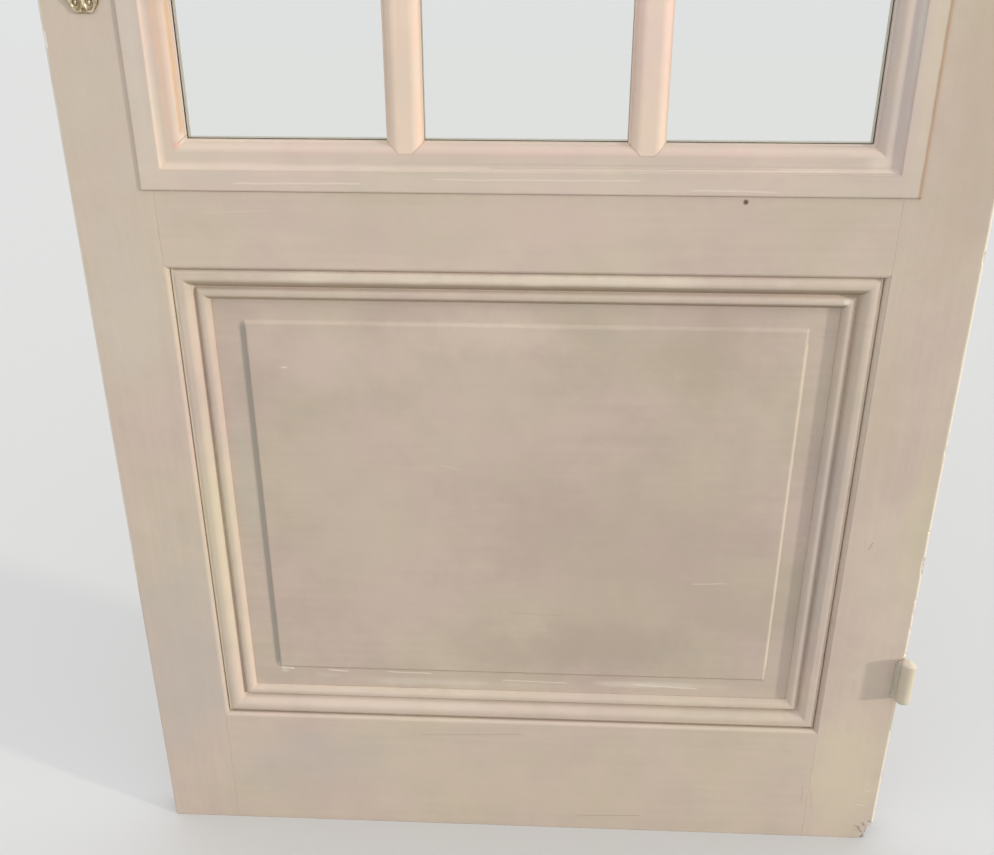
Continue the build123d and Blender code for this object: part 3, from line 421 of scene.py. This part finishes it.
while height < leaf_height - 20:
    height += bruises.uniform(5, 42)
    front = bruises.random() < 0.7
    deep = bruises.uniform(1.7, 2.9)
    bpy.ops.mesh.select_all(action="DESELECT")
    inwards = bruises.uniform(0.0, 1.3)
    spot = at(leaf_width - inwards, bruises.uniform(0.0, 1.2) if front else 35.4, height)
    bpy.ops.mesh.primitive_ico_sphere_add(subdivisions=2, radius=1, location=spot)
    shaped((deep, deep, bruises.uniform(2.2, 9.5)), spot)
bpy.ops.object.mode_set(mode="OBJECT")
carved(hanging_stile, nicks)

# Its torn foot: the corner is split off along the grain, down to grey bare wood. Each ragged cutter
# has its middle from the foot's corner, its turn in degrees, its size and how finely it is broken.
tears = (
    ((5.3, 18, 7.9), (0, 21.6, 0), (22, 60, 75), 18),
    ((-2.4, -3.6, 0), (6, 24, 32), (26, 16, 46), 9),
)
for (x, depth, height), turn, size, cuts in tears:
    bpy.ops.object.select_all(action="DESELECT")
    bpy.ops.mesh.primitive_cube_add(size=1, location=at(leaf_width + x, depth, height),
                                    rotation=[radians(angle) for angle in turn])
    bpy.ops.transform.resize(value=[side / 1000 for side in size], orient_type="LOCAL")
    bpy.ops.object.transform_apply(location=True, rotation=True, scale=True)
    torn = to_piece("torn", bare_wood)
    in_edit_mode()
    bpy.ops.mesh.select_all(action="SELECT")
    bpy.ops.mesh.subdivide(number_cuts=cuts)
    bpy.ops.transform.vertex_random(offset=0.0015, seed=5)
    bpy.ops.object.mode_set(mode="OBJECT")
    carved(hanging_stile, torn, material_mode="TRANSFER")
only(hanging_stile)
bpy.ops.object.shade_smooth_by_angle(angle=radians(50))
finished(hanging_stile, "WEIGHTED_NORMAL", weight=90, keep_sharp=True)
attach(hanging_stile, "leaf")
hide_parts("hanging_stile")

# Splinters that stand out of the torn foot: each one's middle from the leaf's edge, its lean and
# its length.
shards = (
    (-9.5, 1.5, 15, -0.35, 20), (-8.0, 2.6, 19, -0.15, 17), (-10.6, 1.0, 9, -0.75, 19),
    (-8.0, 18.0, 8.5, 0.30, 16), (-6.5, 3.4, 22, 0.2, 16), (-11.5, 0.6, 18, -0.2, 14),
)
bpy.ops.object.select_all(action="DESELECT")
bpy.ops.mesh.primitive_cone_add(vertices=6, radius1=0.0015, radius2=0.0002, depth=0.022,
                                location=at(leaf_width - 13.0, 0.2, 12), rotation=(0.06, -0.5, 0.3))
placed()
in_edit_mode()
for x, depth, height, lean, long in shards:
    bpy.ops.mesh.primitive_cone_add(vertices=5, radius1=0.0012, radius2=0.0001, depth=long / 1000,
                                    location=at(leaf_width + x, depth, height),
                                    rotation=(0.05, lean, 1.0))
bpy.ops.mesh.select_all(action="SELECT")
bpy.ops.mesh.subdivide(number_cuts=2)
bpy.ops.transform.vertex_random(offset=0.0003, seed=2)
bpy.ops.object.mode_set(mode="OBJECT")
splinters = to_piece("splinters", bare_wood)
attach(splinters, "leaf")


# Lower panel and its mouldings: a raised and fielded board in the leaf's groove, with mitred
# mouldings planted round it on both faces, all painted with the leaf.

panel_paint = painted(
    "Paint on panel", Along=level_grain, Paint=(0.545, 0.448, 0.368, 1), Blotches=0.8,
    patches=(((372, 10, 622), (120, 12, 30), (0.66, 0.535, 0.435), 0.75),
             ((290, 10, 600), (70, 12, 60), (0.62, 0.50, 0.41), 0.5),
             ((370, 10, 540), (130, 12, 90), (0.62, 0.50, 0.415), 0.55),
             ((590, 10, 600), (80, 12, 60), (0.47, 0.38, 0.285), 0.6),
             ((520, 10, 360), (190, 12, 170), (0.50, 0.405, 0.32), 0.5),
             ((240, 10, 420), (90, 12, 170), (0.58, 0.475, 0.39), 0.5),
             ((148, 14, 211), (5, 9, 3.5), (0.74, 0.66, 0.56), 0.5),
             ((198, 14, 206), (18, 9, 5), (0.66, 0.57, 0.48), 0.4),
             ((128, 14, 470), (12, 9, 130), (0.51, 0.475, 0.40), 0.5),
             ((215, 12, 592), (105, 12, 50), (0.63, 0.515, 0.43), 0.6),
             ((330, 14, 200), (110, 9, 7), (0.72, 0.63, 0.53), 0.45),
             ((560, 14, 205), (90, 9, 6), (0.74, 0.66, 0.55), 0.6),
             ((690, 14, 240), (40, 12, 50), (0.60, 0.50, 0.40), 0.4),
             ((400, 10, 250), (110, 12, 55), (0.47, 0.38, 0.30), 0.5),
             ((520, 12, 255), (160, 12, 50), (0.45, 0.37, 0.29), 0.55)),
    scratches=(((594, 10, 343), (636, 10, 344.5), 0.9, (0.70, 0.60, 0.48), 0.7),
               ((330, 10, 480), (352, 10, 474), 0.8, pale_cream, 0.5),
               ((176, 10, 584.6), (183, 10, 585.6), 1.2, (0.74, 0.66, 0.56), 0.8),
               ((400, 10, 300), (470, 10, 297), 0.6, hairline, 0.25),
               ((143, 14, 215), (160, 14, 214), 1.5, (0.84, 0.77, 0.67), 0.85),
               ((196, 14, 213), (222, 14, 212), 1.2, (0.82, 0.75, 0.65), 0.8),
               # A dark grey-olive band down the margin left of the field: painted shadow, as the
               # field's edge casts it.
               ((141.6, 13, 631), (141.6, 13, 219), 5.5, (0.34, 0.315, 0.26), 0.6),
               ((262, 14, 213), (318, 14, 212), 1.0, (0.80, 0.72, 0.61), 0.7),
               ((392, 14, 206), (470, 14, 204), 1.0, (0.80, 0.72, 0.61), 0.6),
               ((540, 14, 205), (616, 14, 201), 1.1, (0.80, 0.72, 0.61), 0.7),
               # A cream line at the field's right edge, which faces the lamp: painted highlight.
               ((685.5, 12, 620), (685, 12, 230), 1.6, (0.74, 0.64, 0.50), 0.6)),
)


def pick(piece, wanted):
    """Selects a piece's vertices by their place, and leaves it in edit mode."""
    in_edit_mode()
    bpy.ops.mesh.select_mode(type="VERT")
    bpy.ops.object.mode_set(mode="OBJECT")
    for vertex in piece.data.vertices:
        vertex.select = wanted(vertex.co)
    bpy.ops.object.mode_set(mode="EDIT")


# The board is plain, with a raised field on either face: its foot's place on the board and its rise.
field_low, field_high = at(142.6, 0, 216.4), at(685.3, 0, 633.2)
field_rise, field_slope, board_thickness = 0.0025, 0.0024, 0.007
low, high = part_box("lower_panel")
bpy.ops.object.select_all(action="DESELECT")
bpy.ops.mesh.primitive_cube_add(size=1, location=(low + high) / 2)
bpy.ops.transform.resize(value=(high.x - low.x, board_thickness, high.z - low.z))
bpy.ops.object.transform_apply(location=True, rotation=True, scale=True)
panel = to_piece("lower_panel_raised", panel_paint)
middle = (low + high) / 2
for side in (-1, 1):
    pick(panel, lambda spot: (spot.y - middle.y) * side > 0)
    bpy.ops.mesh.select_mode(type="FACE")
    bpy.ops.mesh.inset(thickness=0.06, depth=0)
    wanted_middle = (field_low + field_high) / 2
    wanted_middle.y = middle.y + side * board_thickness / 2
    bpy.ops.transform.translate(value=(wanted_middle.x - middle.x, 0, wanted_middle.z - middle.z))
    bpy.ops.transform.resize(value=((field_high.x - field_low.x) / (high.x - low.x - 0.12), 1,
                                    (field_high.z - field_low.z) / (high.z - low.z - 0.12)),
                             center_override=wanted_middle)
    bpy.ops.mesh.inset(thickness=field_slope, depth=field_rise)
    bpy.ops.object.mode_set(mode="OBJECT")
finished(panel, "BEVEL", width=0.0007, segments=3, limit_method="ANGLE", angle_limit=radians(30))
only(panel)
bpy.ops.object.shade_smooth_by_angle(angle=radians(40))
finished(panel, "WEIGHTED_NORMAL", weight=90, keep_sharp=True)
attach(panel, "leaf")
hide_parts("lower_panel")


sides = ("left", "top", "right", "bottom")
moulding_paint = painted(
    "Paint on mouldings", Along=(0.3, 1, 0.3), Rubbing=0.9, Undercoat=0.14, Dirt=0.12, Undersides=0.7,
    # On the left moulding, whose faces turn to the lamp: yellowish and pinkish painted warm light.
    patches=(((96, 6, 420), (22, 14, 180), (0.66, 0.57, 0.40), 0.55),
             ((96, 6, 620), (20, 14, 60), (0.70, 0.56, 0.45), 0.5),
             ((715, 6, 662), (4.5, 12, 4), (0.80, 0.74, 0.64), 0.9),
             # A painted highlight along the top moulding's crest.
             ((400, 4, 681), (340, 10, 6), (0.76, 0.66, 0.52), 0.75),
             # Painted shade, greyish-lilac, on the right moulding, whose faces turn away from the
             # lamp.
             ((725, 8, 400), (25, 14, 240), (0.54, 0.47, 0.42), 0.4),
             # Lighter, pinker paint on the bottom moulding, which faces up: painted light.
             ((250, 6, 172), (160, 14, 20), (0.66, 0.54, 0.46), 0.5)),
    # Painted highlights: a pale line on the opening's left wall, which faces the lamp, and one on the
    # right moulding's outer crest.
    scratches=(((82, 8, 700), (82, 8, 150), 3.2, (0.92, 0.84, 0.68), 0.8),
               ((744, 8, 700), (744, 8, 150), 3.0, (0.88, 0.78, 0.64), 0.6)),
)
# A mitred moulding's section in steps inwards and backwards: from the panel up the opening's edge,
# over a broad round, down into a quirk, and over a small ovolo back to the panel.
moulding_steps = (
    (0.02, -8.2), (1.1, -1.4), (1.4, -1.3), (1.7, -0.9), (2.3, -0.5), (2.5, 0.0), (2.5, 0.6),
    (2.3, 1.2), (2.0, 1.9), (1.6, 2.6), (1.2, 2.7), (0.9, 1.7), (0.8, 0.0), (0.8, -2.0),
    (1.2, -1.9), (1.6, -1.2), (1.8, -0.2), (2.1, 0.3), (2.0, 1.1), (1.6, 2.2), (1.1, 2.4),
    (0.5, 0.9),
)
for face, turn in (("front", 90), ("back", -90)):
    names = [f"panel_moulding_{face}_{side}" for side in sides]
    boxes = [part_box(name) for name in names]
    low = Vector([min(box[0][axis] for box in boxes) for axis in range(3)])
    high = Vector([max(box[1][axis] for box in boxes) for axis in range(3)])
    low.y = high.y = high.y if face == "front" else low.y
    bpy.ops.object.select_all(action="DESELECT")
    bpy.ops.mesh.primitive_plane_add(size=1, location=(low + high) / 2,
                                     rotation=(radians(turn), 0, 0))
    bpy.ops.transform.resize(value=(high.x - low.x, 1, high.z - low.z))
    bpy.ops.object.transform_apply(location=True, rotation=True, scale=True)
    bpy.ops.object.mode_set(mode="EDIT")
    bpy.ops.mesh.select_mode(type="FACE")
    bpy.ops.mesh.select_all(action="SELECT")
    for inwards, backwards in moulding_steps:
        bpy.ops.mesh.inset(thickness=inwards / 1000, depth=-backwards / 1000)
    bpy.ops.mesh.delete(type="FACE")
    bpy.ops.mesh.select_mode(type="EDGE")
    bpy.ops.mesh.select_all(action="SELECT")
    bpy.ops.mesh.region_to_loop()
    bpy.ops.mesh.bridge_edge_loops()
    bpy.ops.mesh.select_mode(type="FACE")
    bpy.ops.mesh.select_all(action="SELECT")
    bpy.ops.mesh.normals_make_consistent(inside=False)
    bpy.ops.object.mode_set(mode="OBJECT")
    moulding = to_piece(f"panel_moulding_{face}", moulding_paint)
    finished(moulding, "BEVEL", width=0.0005, segments=2, limit_method="ANGLE",
             angle_limit=radians(38))
    only(moulding)
    bpy.ops.object.shade_smooth_by_angle(angle=radians(50))
    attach(moulding, "leaf")
    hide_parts(*names)


# Glazing frame, bars and beads: moulded softwood, mitred, in the leaf's paint. The salmon coat under
# it shows in streaks on the jambs; on the left jamb, whose faces turn to the lamp, it is partly
# painted warm light.

worn_share = 0.66      # how much is left of the frame's relief, in front of the bars' faces


def framed(names, piece_name, material):
    """One piece from the four mitred lengths of a frame. The faces inside its mitres are deleted,
    so that the paint runs over them, and the faces proud of the bars are worn down."""
    piece = copied(names, piece_name, material)
    in_edit_mode()
    bpy.ops.object.mode_set(mode="OBJECT")
    boxes = [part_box(name) for name in names]
    left, right = min(low.x for low, high in boxes), max(high.x for low, high in boxes)
    foot, head = min(low.z for low, high in boxes), max(high.z for low, high in boxes)
    for face in piece.data.polygons:
        x, z = face.center.x, face.center.z
        from_corner = abs(min(x - left, right - x) - min(z - foot, head - z))
        slanting = abs(face.normal.x) > 0.6 and abs(face.normal.z) > 0.6
        face.select = slanting and from_corner < 0.00005
    bpy.ops.object.mode_set(mode="EDIT")
    bpy.ops.mesh.delete(type="FACE")
    bpy.ops.mesh.select_all(action="SELECT")
    bpy.ops.mesh.remove_doubles(threshold=0.00003)
    bpy.ops.object.mode_set(mode="OBJECT")
    for inner, away in ((at(0, 2, 0), -1), (at(0, 34, 0), 1)):
        pick(piece, lambda spot: (spot.y - inner.y) * away > 0)
        bpy.ops.transform.resize(value=(1, worn_share, 1), center_override=inner)
        bpy.ops.object.mode_set(mode="OBJECT")
    finished(piece, "BEVEL", width=0.0007, segments=2, limit_method="ANGLE", angle_limit=radians(35),
             use_clamp_overlap=True)
    only(piece)
    bpy.ops.object.shade_smooth_by_angle(angle=radians(40))
    finished(piece, "WEIGHTED_NORMAL", weight=90, keep_sharp=True)
    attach(piece, "leaf")
    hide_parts(*names)


glazing_paint = painted(
    "Paint on glazing frame", Undercoat=0.3, Rubbing=0.35, Dirt=0.0, Paint=(0.635, 0.535, 0.45, 1),
    # Salmon on the left jamb's ovolo and cove, which face the lamp: partly undercoat, partly painted
    # warm light.
    patches=(((99, 4, 940), (11, 12, 190), (0.80, 0.56, 0.41), 0.75),
             ((102.5, 7, 801), (6, 8, 8), (0.84, 0.27, 0.18), 1.0),
             ((76, 0, 900), (12, 10, 160), (0.66, 0.60, 0.50), 0.6),
             ((420, 3, 800), (330, 12, 9), (0.68, 0.50, 0.43), 0.6),
             # Painted shade on the right jamb, whose faces turn away from the lamp: lilac-grey about
             # its cove.
             ((738, 4, 880), (14, 14, 130), (0.60, 0.50, 0.47), 0.6),
             ((420, 0, 772), (340, 10, 8), (0.66, 0.55, 0.45), 0.5),
             ((755, 0, 900), (9, 10, 170), (0.66, 0.57, 0.42), 0.6),
             # Painted shade tones on the right jamb: lilac on the ovolo and bluish in the cove.
             ((722, 8, 1030), (6, 10, 230), (0.70, 0.61, 0.60), 0.65),
             ((741, 0, 1030), (4, 8, 215), (0.70, 0.655, 0.58), 0.75),
             ((732, 2, 1030), (4, 8, 220), (0.72, 0.60, 0.50), 0.6),
             ((420, 0, 787), (330, 8, 3.5), (0.57, 0.47, 0.385), 0.7),
             ((725, 2, 792), (16, 9, 10), (0.80, 0.70, 0.58), 0.5)),
    scratches=(((111.5, 6, 810.5), (104.5, 6, 803.5), 0.6, hairline, 0.5),
               ((96, 6, 960), (99, 6, 815), 1.2, (0.80, 0.52, 0.36), 0.6),
               ((108, 8, 1300), (108, 8, 810), 2.0, (0.62, 0.40, 0.22), 0.75),
               ((763, 0, 1400), (763, 0, 700), 3.4, (0.42, 0.275, 0.165), 0.9),
               ((330, 0, 775), (520, 0, 776), 1.0, (0.80, 0.70, 0.58), 0.5),
               ((150, 0, 770), (270, 0, 771), 1.1, (0.80, 0.70, 0.60), 0.55),
               ((380, 0, 785), (640, 0, 786), 0.9, (0.48, 0.36, 0.28), 0.45),
               ((560, 0, 768), (640, 0, 767), 1.0, (0.80, 0.70, 0.58), 0.5)),
)
# The brush followed each length: level on the sill and the head, upright on the jambs.
tree = glazing_paint.node_tree
found = {node.type: node for node in tree.nodes}
height = put(tree, "SeparateXYZ", {0: found["TEX_COORD"].outputs["Object"]}).outputs["Z"]
on_sill = calc(tree, "LESS_THAN", height, at(0, 0, 806).z)
on_head = calc(tree, "GREATER_THAN", height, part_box("glazing_frame_top")[0].z)
level = calc(tree, "MAXIMUM", on_sill, on_head)
along = put(tree, "Mix", {0: level, 4: upright_grain, 5: level_grain}, data_type="VECTOR")
tree.links.new(along.outputs[1], found["GROUP"].inputs["Along"])
bar_paint = painted("Paint on glazing bars", Paint=(0.80, 0.64, 0.53, 1), Undercoat=0.5,
                    Rubbing=0.5, Dirt=0.0)
framed([f"glazing_frame_{side}" for side in sides], "glazing_frame", glazing_paint)
dress(["glazing_bar_left", "glazing_bar_right"], bar_paint)
dress([f"cross_bar_{name}" for name in ("lower", "middle", "upper")], bar_paint)
rows = ("bottom", "lower", "upper", "top")
bead_paint = painted("Paint on beads", Along=(0.06, 1, 0.06), Paint=(0.70, 0.64, 0.50, 1),
                     Dirt=0.2, Rubbing=0.2)
dress([f"glazing_beads_{row}_row" for row in rows], bead_paint)


# Panes: old clear sheet glass with a little dust, held in the rebates by the beads.

glass, tree, shader, place = new_material("Old clear glass")
shader.inputs["Base Color"].default_value = (0.97, 0.985, 0.975, 1)
shader.inputs["Transmission Weight"].default_value = 1.0
shader.inputs["IOR"].default_value = 1.5
dust = spread(tree, cloud(tree, place, 9, 5, 0.65), 0.35, 0.75, 0.0, 0.09)
tree.links.new(dust, shader.inputs["Roughness"])
ripple = put(tree, "Bump", {"Strength": 0.05, "Distance": 0.001, "Height": cloud(tree, place, 22, 2)})
tree.links.new(ripple.outputs[0], shader.inputs["Normal"])
for row in rows:
    dress([f"pane_{row}_{column}" for column in ("left", "middle", "right")], glass)


# Hinges: the leaf's halves of three steel lift-off hinges, let into the hanging edge and screwed.
# Many coats of paint run over them and fill the corner between knuckle and door.

iron_paint = painted("Paint on hinges", Paint=(0.63, 0.56, 0.43, 1), Along=(1, 1, 0.4),
                     Rubbing=0.8, Dirt=0.1,
                     # Painted light on the lower hinge: painted shade, grey-green, on the paint
                     # fillet left of the knuckle, and a painted highlight on the knuckle's right
                     # side, which faces the lamp.
                     patches=(((822, -3, 240), (5, 9, 40), (0.46, 0.45, 0.38), 0.6),
                              ((837, -8, 240), (5, 10, 40), (0.74, 0.66, 0.45), 0.7)))


def cast(piece, grain, rounds):
    """Fuses a piece's parts and rounds its arrises, as paint or casting does."""
    finished(piece, "REMESH", mode="VOXEL", voxel_size=grain / 1000)
    finished(piece, "SMOOTH", factor=0.5, iterations=rounds)
    only(piece)
    bpy.ops.object.shade_smooth()


# The paint's fillets are bars from the flap to the knuckle, with their middles and sizes. The flap
# reaches as far below the knuckle's mouth as the knuckle stands above it.
knuckle_height = 51
for name in ("hinge_lower", "hinge_middle", "hinge_upper"):
    low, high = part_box(name)
    mouth = (low.z - corner.z) * 1000 + knuckle_height
    hinge = copied([name], f"{name}_painted", iron_paint)
    in_edit_mode()
    for x, depth, height, size in ((leaf_width - 4.6, -2.4, mouth + 24.2, (6.4, 5.6, 48.0)),
                                   (leaf_width - 7.4, -0.8, mouth + 22.4, (4.0, 2.4, 46.0)),
                                   (leaf_width - 5.6, -0.9, mouth + 1.0, (7.6, 3.0, 3.6))):
        bpy.ops.mesh.select_all(action="DESELECT")
        bpy.ops.mesh.primitive_cube_add(size=1, location=at(x, depth, height),
                                        rotation=(0, 0, radians(-24)))
        shaped(size, at(x, depth, height))
    bpy.ops.object.mode_set(mode="OBJECT")
    bpy.ops.object.select_all(action="DESELECT")
    bpy.ops.mesh.primitive_cube_add(size=1, location=at(leaf_width + 8.6, -8, mouth + 52.0),
                                    rotation=(0, radians(30), 0))
    bpy.ops.transform.resize(value=(0.03, 0.03, 0.008), orient_type="LOCAL")
    bpy.ops.object.transform_apply(location=True, rotation=True, scale=True)
    carved(hinge, bpy.context.object)
    cast(hinge, 0.7, 7)
    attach(hinge, "leaf")
    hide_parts(name)


def slotted(name, piece_name, material, heads):
    """Copies a node's screws and saws a slot in each head, given by the slot's middle, its size
    and its turn."""
    screws = copied([name], piece_name, material)
    bpy.ops.object.select_all(action="DESELECT")
    bpy.ops.mesh.primitive_cube_add(size=0.0001, location=at(0, 0, -100))
    saw = bpy.context.object
    placed()
    in_edit_mode()
    for spot, size, turn in heads:
        bpy.ops.mesh.select_all(action="DESELECT")
        bpy.ops.mesh.primitive_cube_add(size=1, location=at(*spot), rotation=turn)
        bpy.ops.transform.resize(value=[side / 1000 for side in size], center_override=at(*spot))
    bpy.ops.object.mode_set(mode="OBJECT")
    carved(screws, saw)
    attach(screws, "leaf")
    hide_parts(name)


screw_spacing = 33
hinge_screws = [((leaf_width, 22 - 9.5 * (number % 2), mouth + screw_spacing * (number - 1)),
                 (1.6, 9, 0.9), (0, 0, 0))
                for mouth in (212, 995, 1778) for number in range(3)]
slotted("hinge_screws", "hinge_screws_slotted", iron_paint, hinge_screws)


# Mortise lock: steel case, cover and faceplate, brass bolts and follower.

steel, tree, shader, place = new_material("Dull lock steel")
shader.inputs["Metallic"].default_value = 1.0
tarnish = cloud(tree, place, 60, 5, 0.6)
rusted = spread(tree, tarnish, 0.4, 0.65)
tree.links.new(blend(tree, rusted, (0.42, 0.41, 0.39, 1), (0.24, 0.18, 0.13, 1)),
               shader.inputs["Base Color"])
tree.links.new(spread(tree, tarnish, 0.3, 0.7, 0.32, 0.6), shader.inputs["Roughness"])
dress(("lock_case", "lock_cover", "lock_faceplate", "lock_screws", "spindle", "latch_spring",
       "bolt_spring", "lever_pins"), steel)

lock_brass, tree, shader, place = new_material("Dull lock brass")
shader.inputs["Metallic"].default_value = 1.0
tarnish = cloud(tree, place, 90, 5, 0.6)
browned_brass = spread(tree, tarnish, 0.4, 0.7)
tree.links.new(blend(tree, browned_brass, (0.66, 0.51, 0.27, 1), (0.40, 0.28, 0.13, 1)),
               shader.inputs["Base Color"])
tree.links.new(spread(tree, tarnish, 0.3, 0.7, 0.28, 0.5), shader.inputs["Roughness"])
dress(("latch_bolt", "dead_bolt", "follower"), lock_brass)
slotted("lock_screws", "lock_screws_slotted", steel,
        [((0, 18, height), (1.6, 0.9, 9), (radians(24), 0, 0)) for height in (940, 1100)])


# Handles: cast brass plates with a palmette in relief at each end, and cast brass levers. The brass
# is worn pale on the relief, brown in the hollows where polish and paint have dried, and its steep
# sides carry painted shade.

brass, tree, shader, place = new_material("Old cast brass")
shader.inputs["Metallic"].default_value = 0.85
tarnish = cloud(tree, place, 140, 5, 0.6)
hollows = put(tree, "AmbientOcclusion", {"Distance": 0.0035}, samples=6).outputs["AO"]
brass_tone_and_shade = blend(tree, spread(tree, tarnish, 0.35, 0.7), (0.74, 0.63, 0.45, 1),
                   (0.50, 0.39, 0.23, 1))
# Painted shade: the steep sides of rim and relief are blended towards a dark brown.
steep = put(tree, "SeparateXYZ", {0: put(tree, "NewGeometry").outputs["Normal"]}).outputs["Y"]
steep = spread(tree, calc(tree, "ABSOLUTE", steep), 0.62, 0.22, 0.0, 0.85)
brass_tone_and_shade = blend(tree, steep, brass_tone_and_shade, (0.24, 0.17, 0.085, 1))
brass_tone_and_shade = blend(tree, spread(tree, hollows, 0.97, 0.66), brass_tone_and_shade, (0.20, 0.135, 0.06, 1))
tree.links.new(brass_tone_and_shade, shader.inputs["Base Color"])
tree.links.new(spread(tree, tarnish, 0.3, 0.7, 0.30, 0.52), shader.inputs["Roughness"])
pits = put(tree, "Bump", {"Strength": 0.3, "Distance": 0.0002, "Height": cloud(tree, place, 700, 3)})
tree.links.new(pits.outputs[0], shader.inputs["Normal"])

# A palmette's parts, as half width, height above the plate's tip, half sizes and thickness: loops
# beside the rib, lobes outside them, and the rib itself. Each but the rib has a twin.
plate_centre, plate_foot, plate_head = 39.5, 913, 1137
loops = ((5.6, 8.2, 4.2, 6.4, 0.22), (4.6, 21.5, 3.0, 6.4, 0.28), (10.2, 26.5, 3.2, 4.6, 0.28))
lobes = ((11.6, 12.4, 1.9, 4.6, 2.0), (6.0, 9.4, 1.3, 2.6, 1.6), (4.4, 2.4, 2.6, 1.1, 1.7),
         (11.6, 34.5, 1.6, 6.0, 1.4))
ribs = ((0, 13.0, 1.3, 9.0, 2.3), (0, 45.0, 1.0, 7.0, 1.6), (0, 33.0, 6.6, 6.6, 1.0))


def add_relief(front):
    """Adds the palmettes to a plate in edit mode, on the surface at this depth."""
    for foot, upwards in ((plate_foot, 1), (plate_head, -1)):
        for side in (-1, 1):
            for wide, high, half_width, half_height, thick in loops:
                spot = at(plate_centre + side * wide, front, foot + upwards * high)
                bpy.ops.mesh.select_all(action="DESELECT")
                bpy.ops.mesh.primitive_torus_add(major_radius=1, minor_radius=thick,
                                                 major_segments=28, minor_segments=8,
                                                 location=spot, rotation=(radians(90), 0, 0))
                shaped((half_width, 4.2, half_height), spot)
            for wide, high, half_width, half_height, thick in lobes:
                spot = at(plate_centre + side * wide, front, foot + upwards * high)
                bpy.ops.mesh.select_all(action="DESELECT")
                bpy.ops.mesh.primitive_uv_sphere_add(segments=20, ring_count=12, radius=1,
                                                     location=spot)
                shaped((half_width, thick, half_height), spot)
        for wide, high, half_width, half_height, thick in ribs:
            spot = at(plate_centre, front, foot + upwards * high)
            bpy.ops.mesh.select_all(action="DESELECT")
            bpy.ops.mesh.primitive_uv_sphere_add(segments=20, ring_count=12, radius=1, location=spot)
            shaped((half_width, thick, half_height), spot)


for face, front, sign in (("front", -2.5, -1), ("back", 38.5, 1)):
    # The plate's field is sunk inside a narrow rim, and the palmettes stand in it.
    plate = copied([f"backplate_{face}"], f"backplate_{face}_relief", brass)
    in_edit_mode()
    bpy.ops.object.mode_set(mode="OBJECT")
    surface = at(0, front, 0).y
    for polygon in plate.data.polygons:
        polygon.select = abs(polygon.center.y - surface) < 0.00005 and polygon.normal.y * sign > 0.99
    bpy.ops.object.mode_set(mode="EDIT")
    bpy.ops.mesh.inset(thickness=0.0012, depth=0.0, use_even_offset=True)
    bpy.ops.transform.translate(value=(0, -0.0013 * sign, 0))
    bpy.ops.mesh.select_all(action="DESELECT")
    add_relief(front - 1.0 * sign)
    bpy.ops.object.mode_set(mode="OBJECT")
    cast(plate, 0.44, 1)
    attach(plate, "leaf")
    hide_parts(f"backplate_{face}")
    lever = copied([f"lever_{face}"], f"lever_{face}_cast", brass)
    cast(lever, 0.6, 4)
    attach(lever, "handle")
    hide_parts(f"lever_{face}")
plate_screws = ((plate_foot + 33, 20), (plate_head - 33, -35))
slotted("plate_screws", "plate_screws_slotted", brass,
        [((plate_centre, depth, height), (9, 1.6, 0.9), (0, radians(turn), 0))
         for depth in (-2.5, 38.5) for height, turn in plate_screws])


# Floor, light and camera: a plain pale floor, soft even light with a broad lamp at the front right,
# and the camera at the photograph's place.

foot = -0.212
floor_shade, floor_seen = (0.20, 0.195, 0.185, 1), (0.622, 0.615, 0.600, 1)
sky_light, sky_seen = (1.12, 1.14, 1.17, 1), (0.76, 0.765, 0.77, 1)


def two_faced(tree, lighting, seen):
    """One colour for the light that falls on the door, another for what is seen straight, in
    metal or through glass."""
    path = put(tree, "LightPath")
    direct = calc(tree, "MAXIMUM", path.outputs["Is Camera Ray"], path.outputs["Is Glossy Ray"])
    direct = calc(tree, "MAXIMUM", direct, path.outputs["Is Transmission Ray"])
    return blend(tree, direct, lighting, seen)


bpy.ops.object.select_all(action="DESELECT")
bpy.ops.mesh.primitive_plane_add(size=14, location=(0, 0, foot))
floor = bpy.context.object
floor.name = "floor"
pale = bpy.data.materials.new("Pale floor")
pale.use_nodes = True
tree = pale.node_tree
shader = tree.nodes["Principled BSDF"]
shader.inputs["Roughness"].default_value = 0.9
tree.links.new(two_faced(tree, floor_shade, floor_seen), shader.inputs["Base Color"])
floor.data.materials.append(pale)

world = bpy.data.worlds.new("Studio")
bpy.context.scene.world = world
world.use_nodes = True
tree = world.node_tree
sky = tree.nodes["Background"]
tree.links.new(two_faced(tree, sky_light, sky_seen), sky.inputs["Color"])
sky.inputs["Strength"].default_value = 1.0

lamp = bpy.data.lights.new("Key lamp", "SUN")
lamp.energy = 1.70
lamp.angle = radians(3.5)
lamp.color = (1.0, 0.95, 0.87)
key = bpy.data.objects.new("Key lamp", lamp)
bpy.context.collection.objects.link(key)
key.rotation_mode = "QUATERNION"
key.rotation_quaternion = Vector((2.6, -1.0, 0.5)).to_track_quat("Z", "Y")

view = bpy.data.cameras.new("Camera")
view.lens = 40.18
view.sensor_width = 36
view.sensor_fit = "HORIZONTAL"
camera = bpy.data.objects.new("Camera", view)
camera.location = (-0.3945, -0.975, 0.799)
camera.rotation_euler = (radians(63.936), radians(0.066), radians(2.729))
bpy.context.collection.objects.link(camera)
bpy.context.scene.camera = camera
bpy.context.scene.view_settings.view_transform = "Standard"
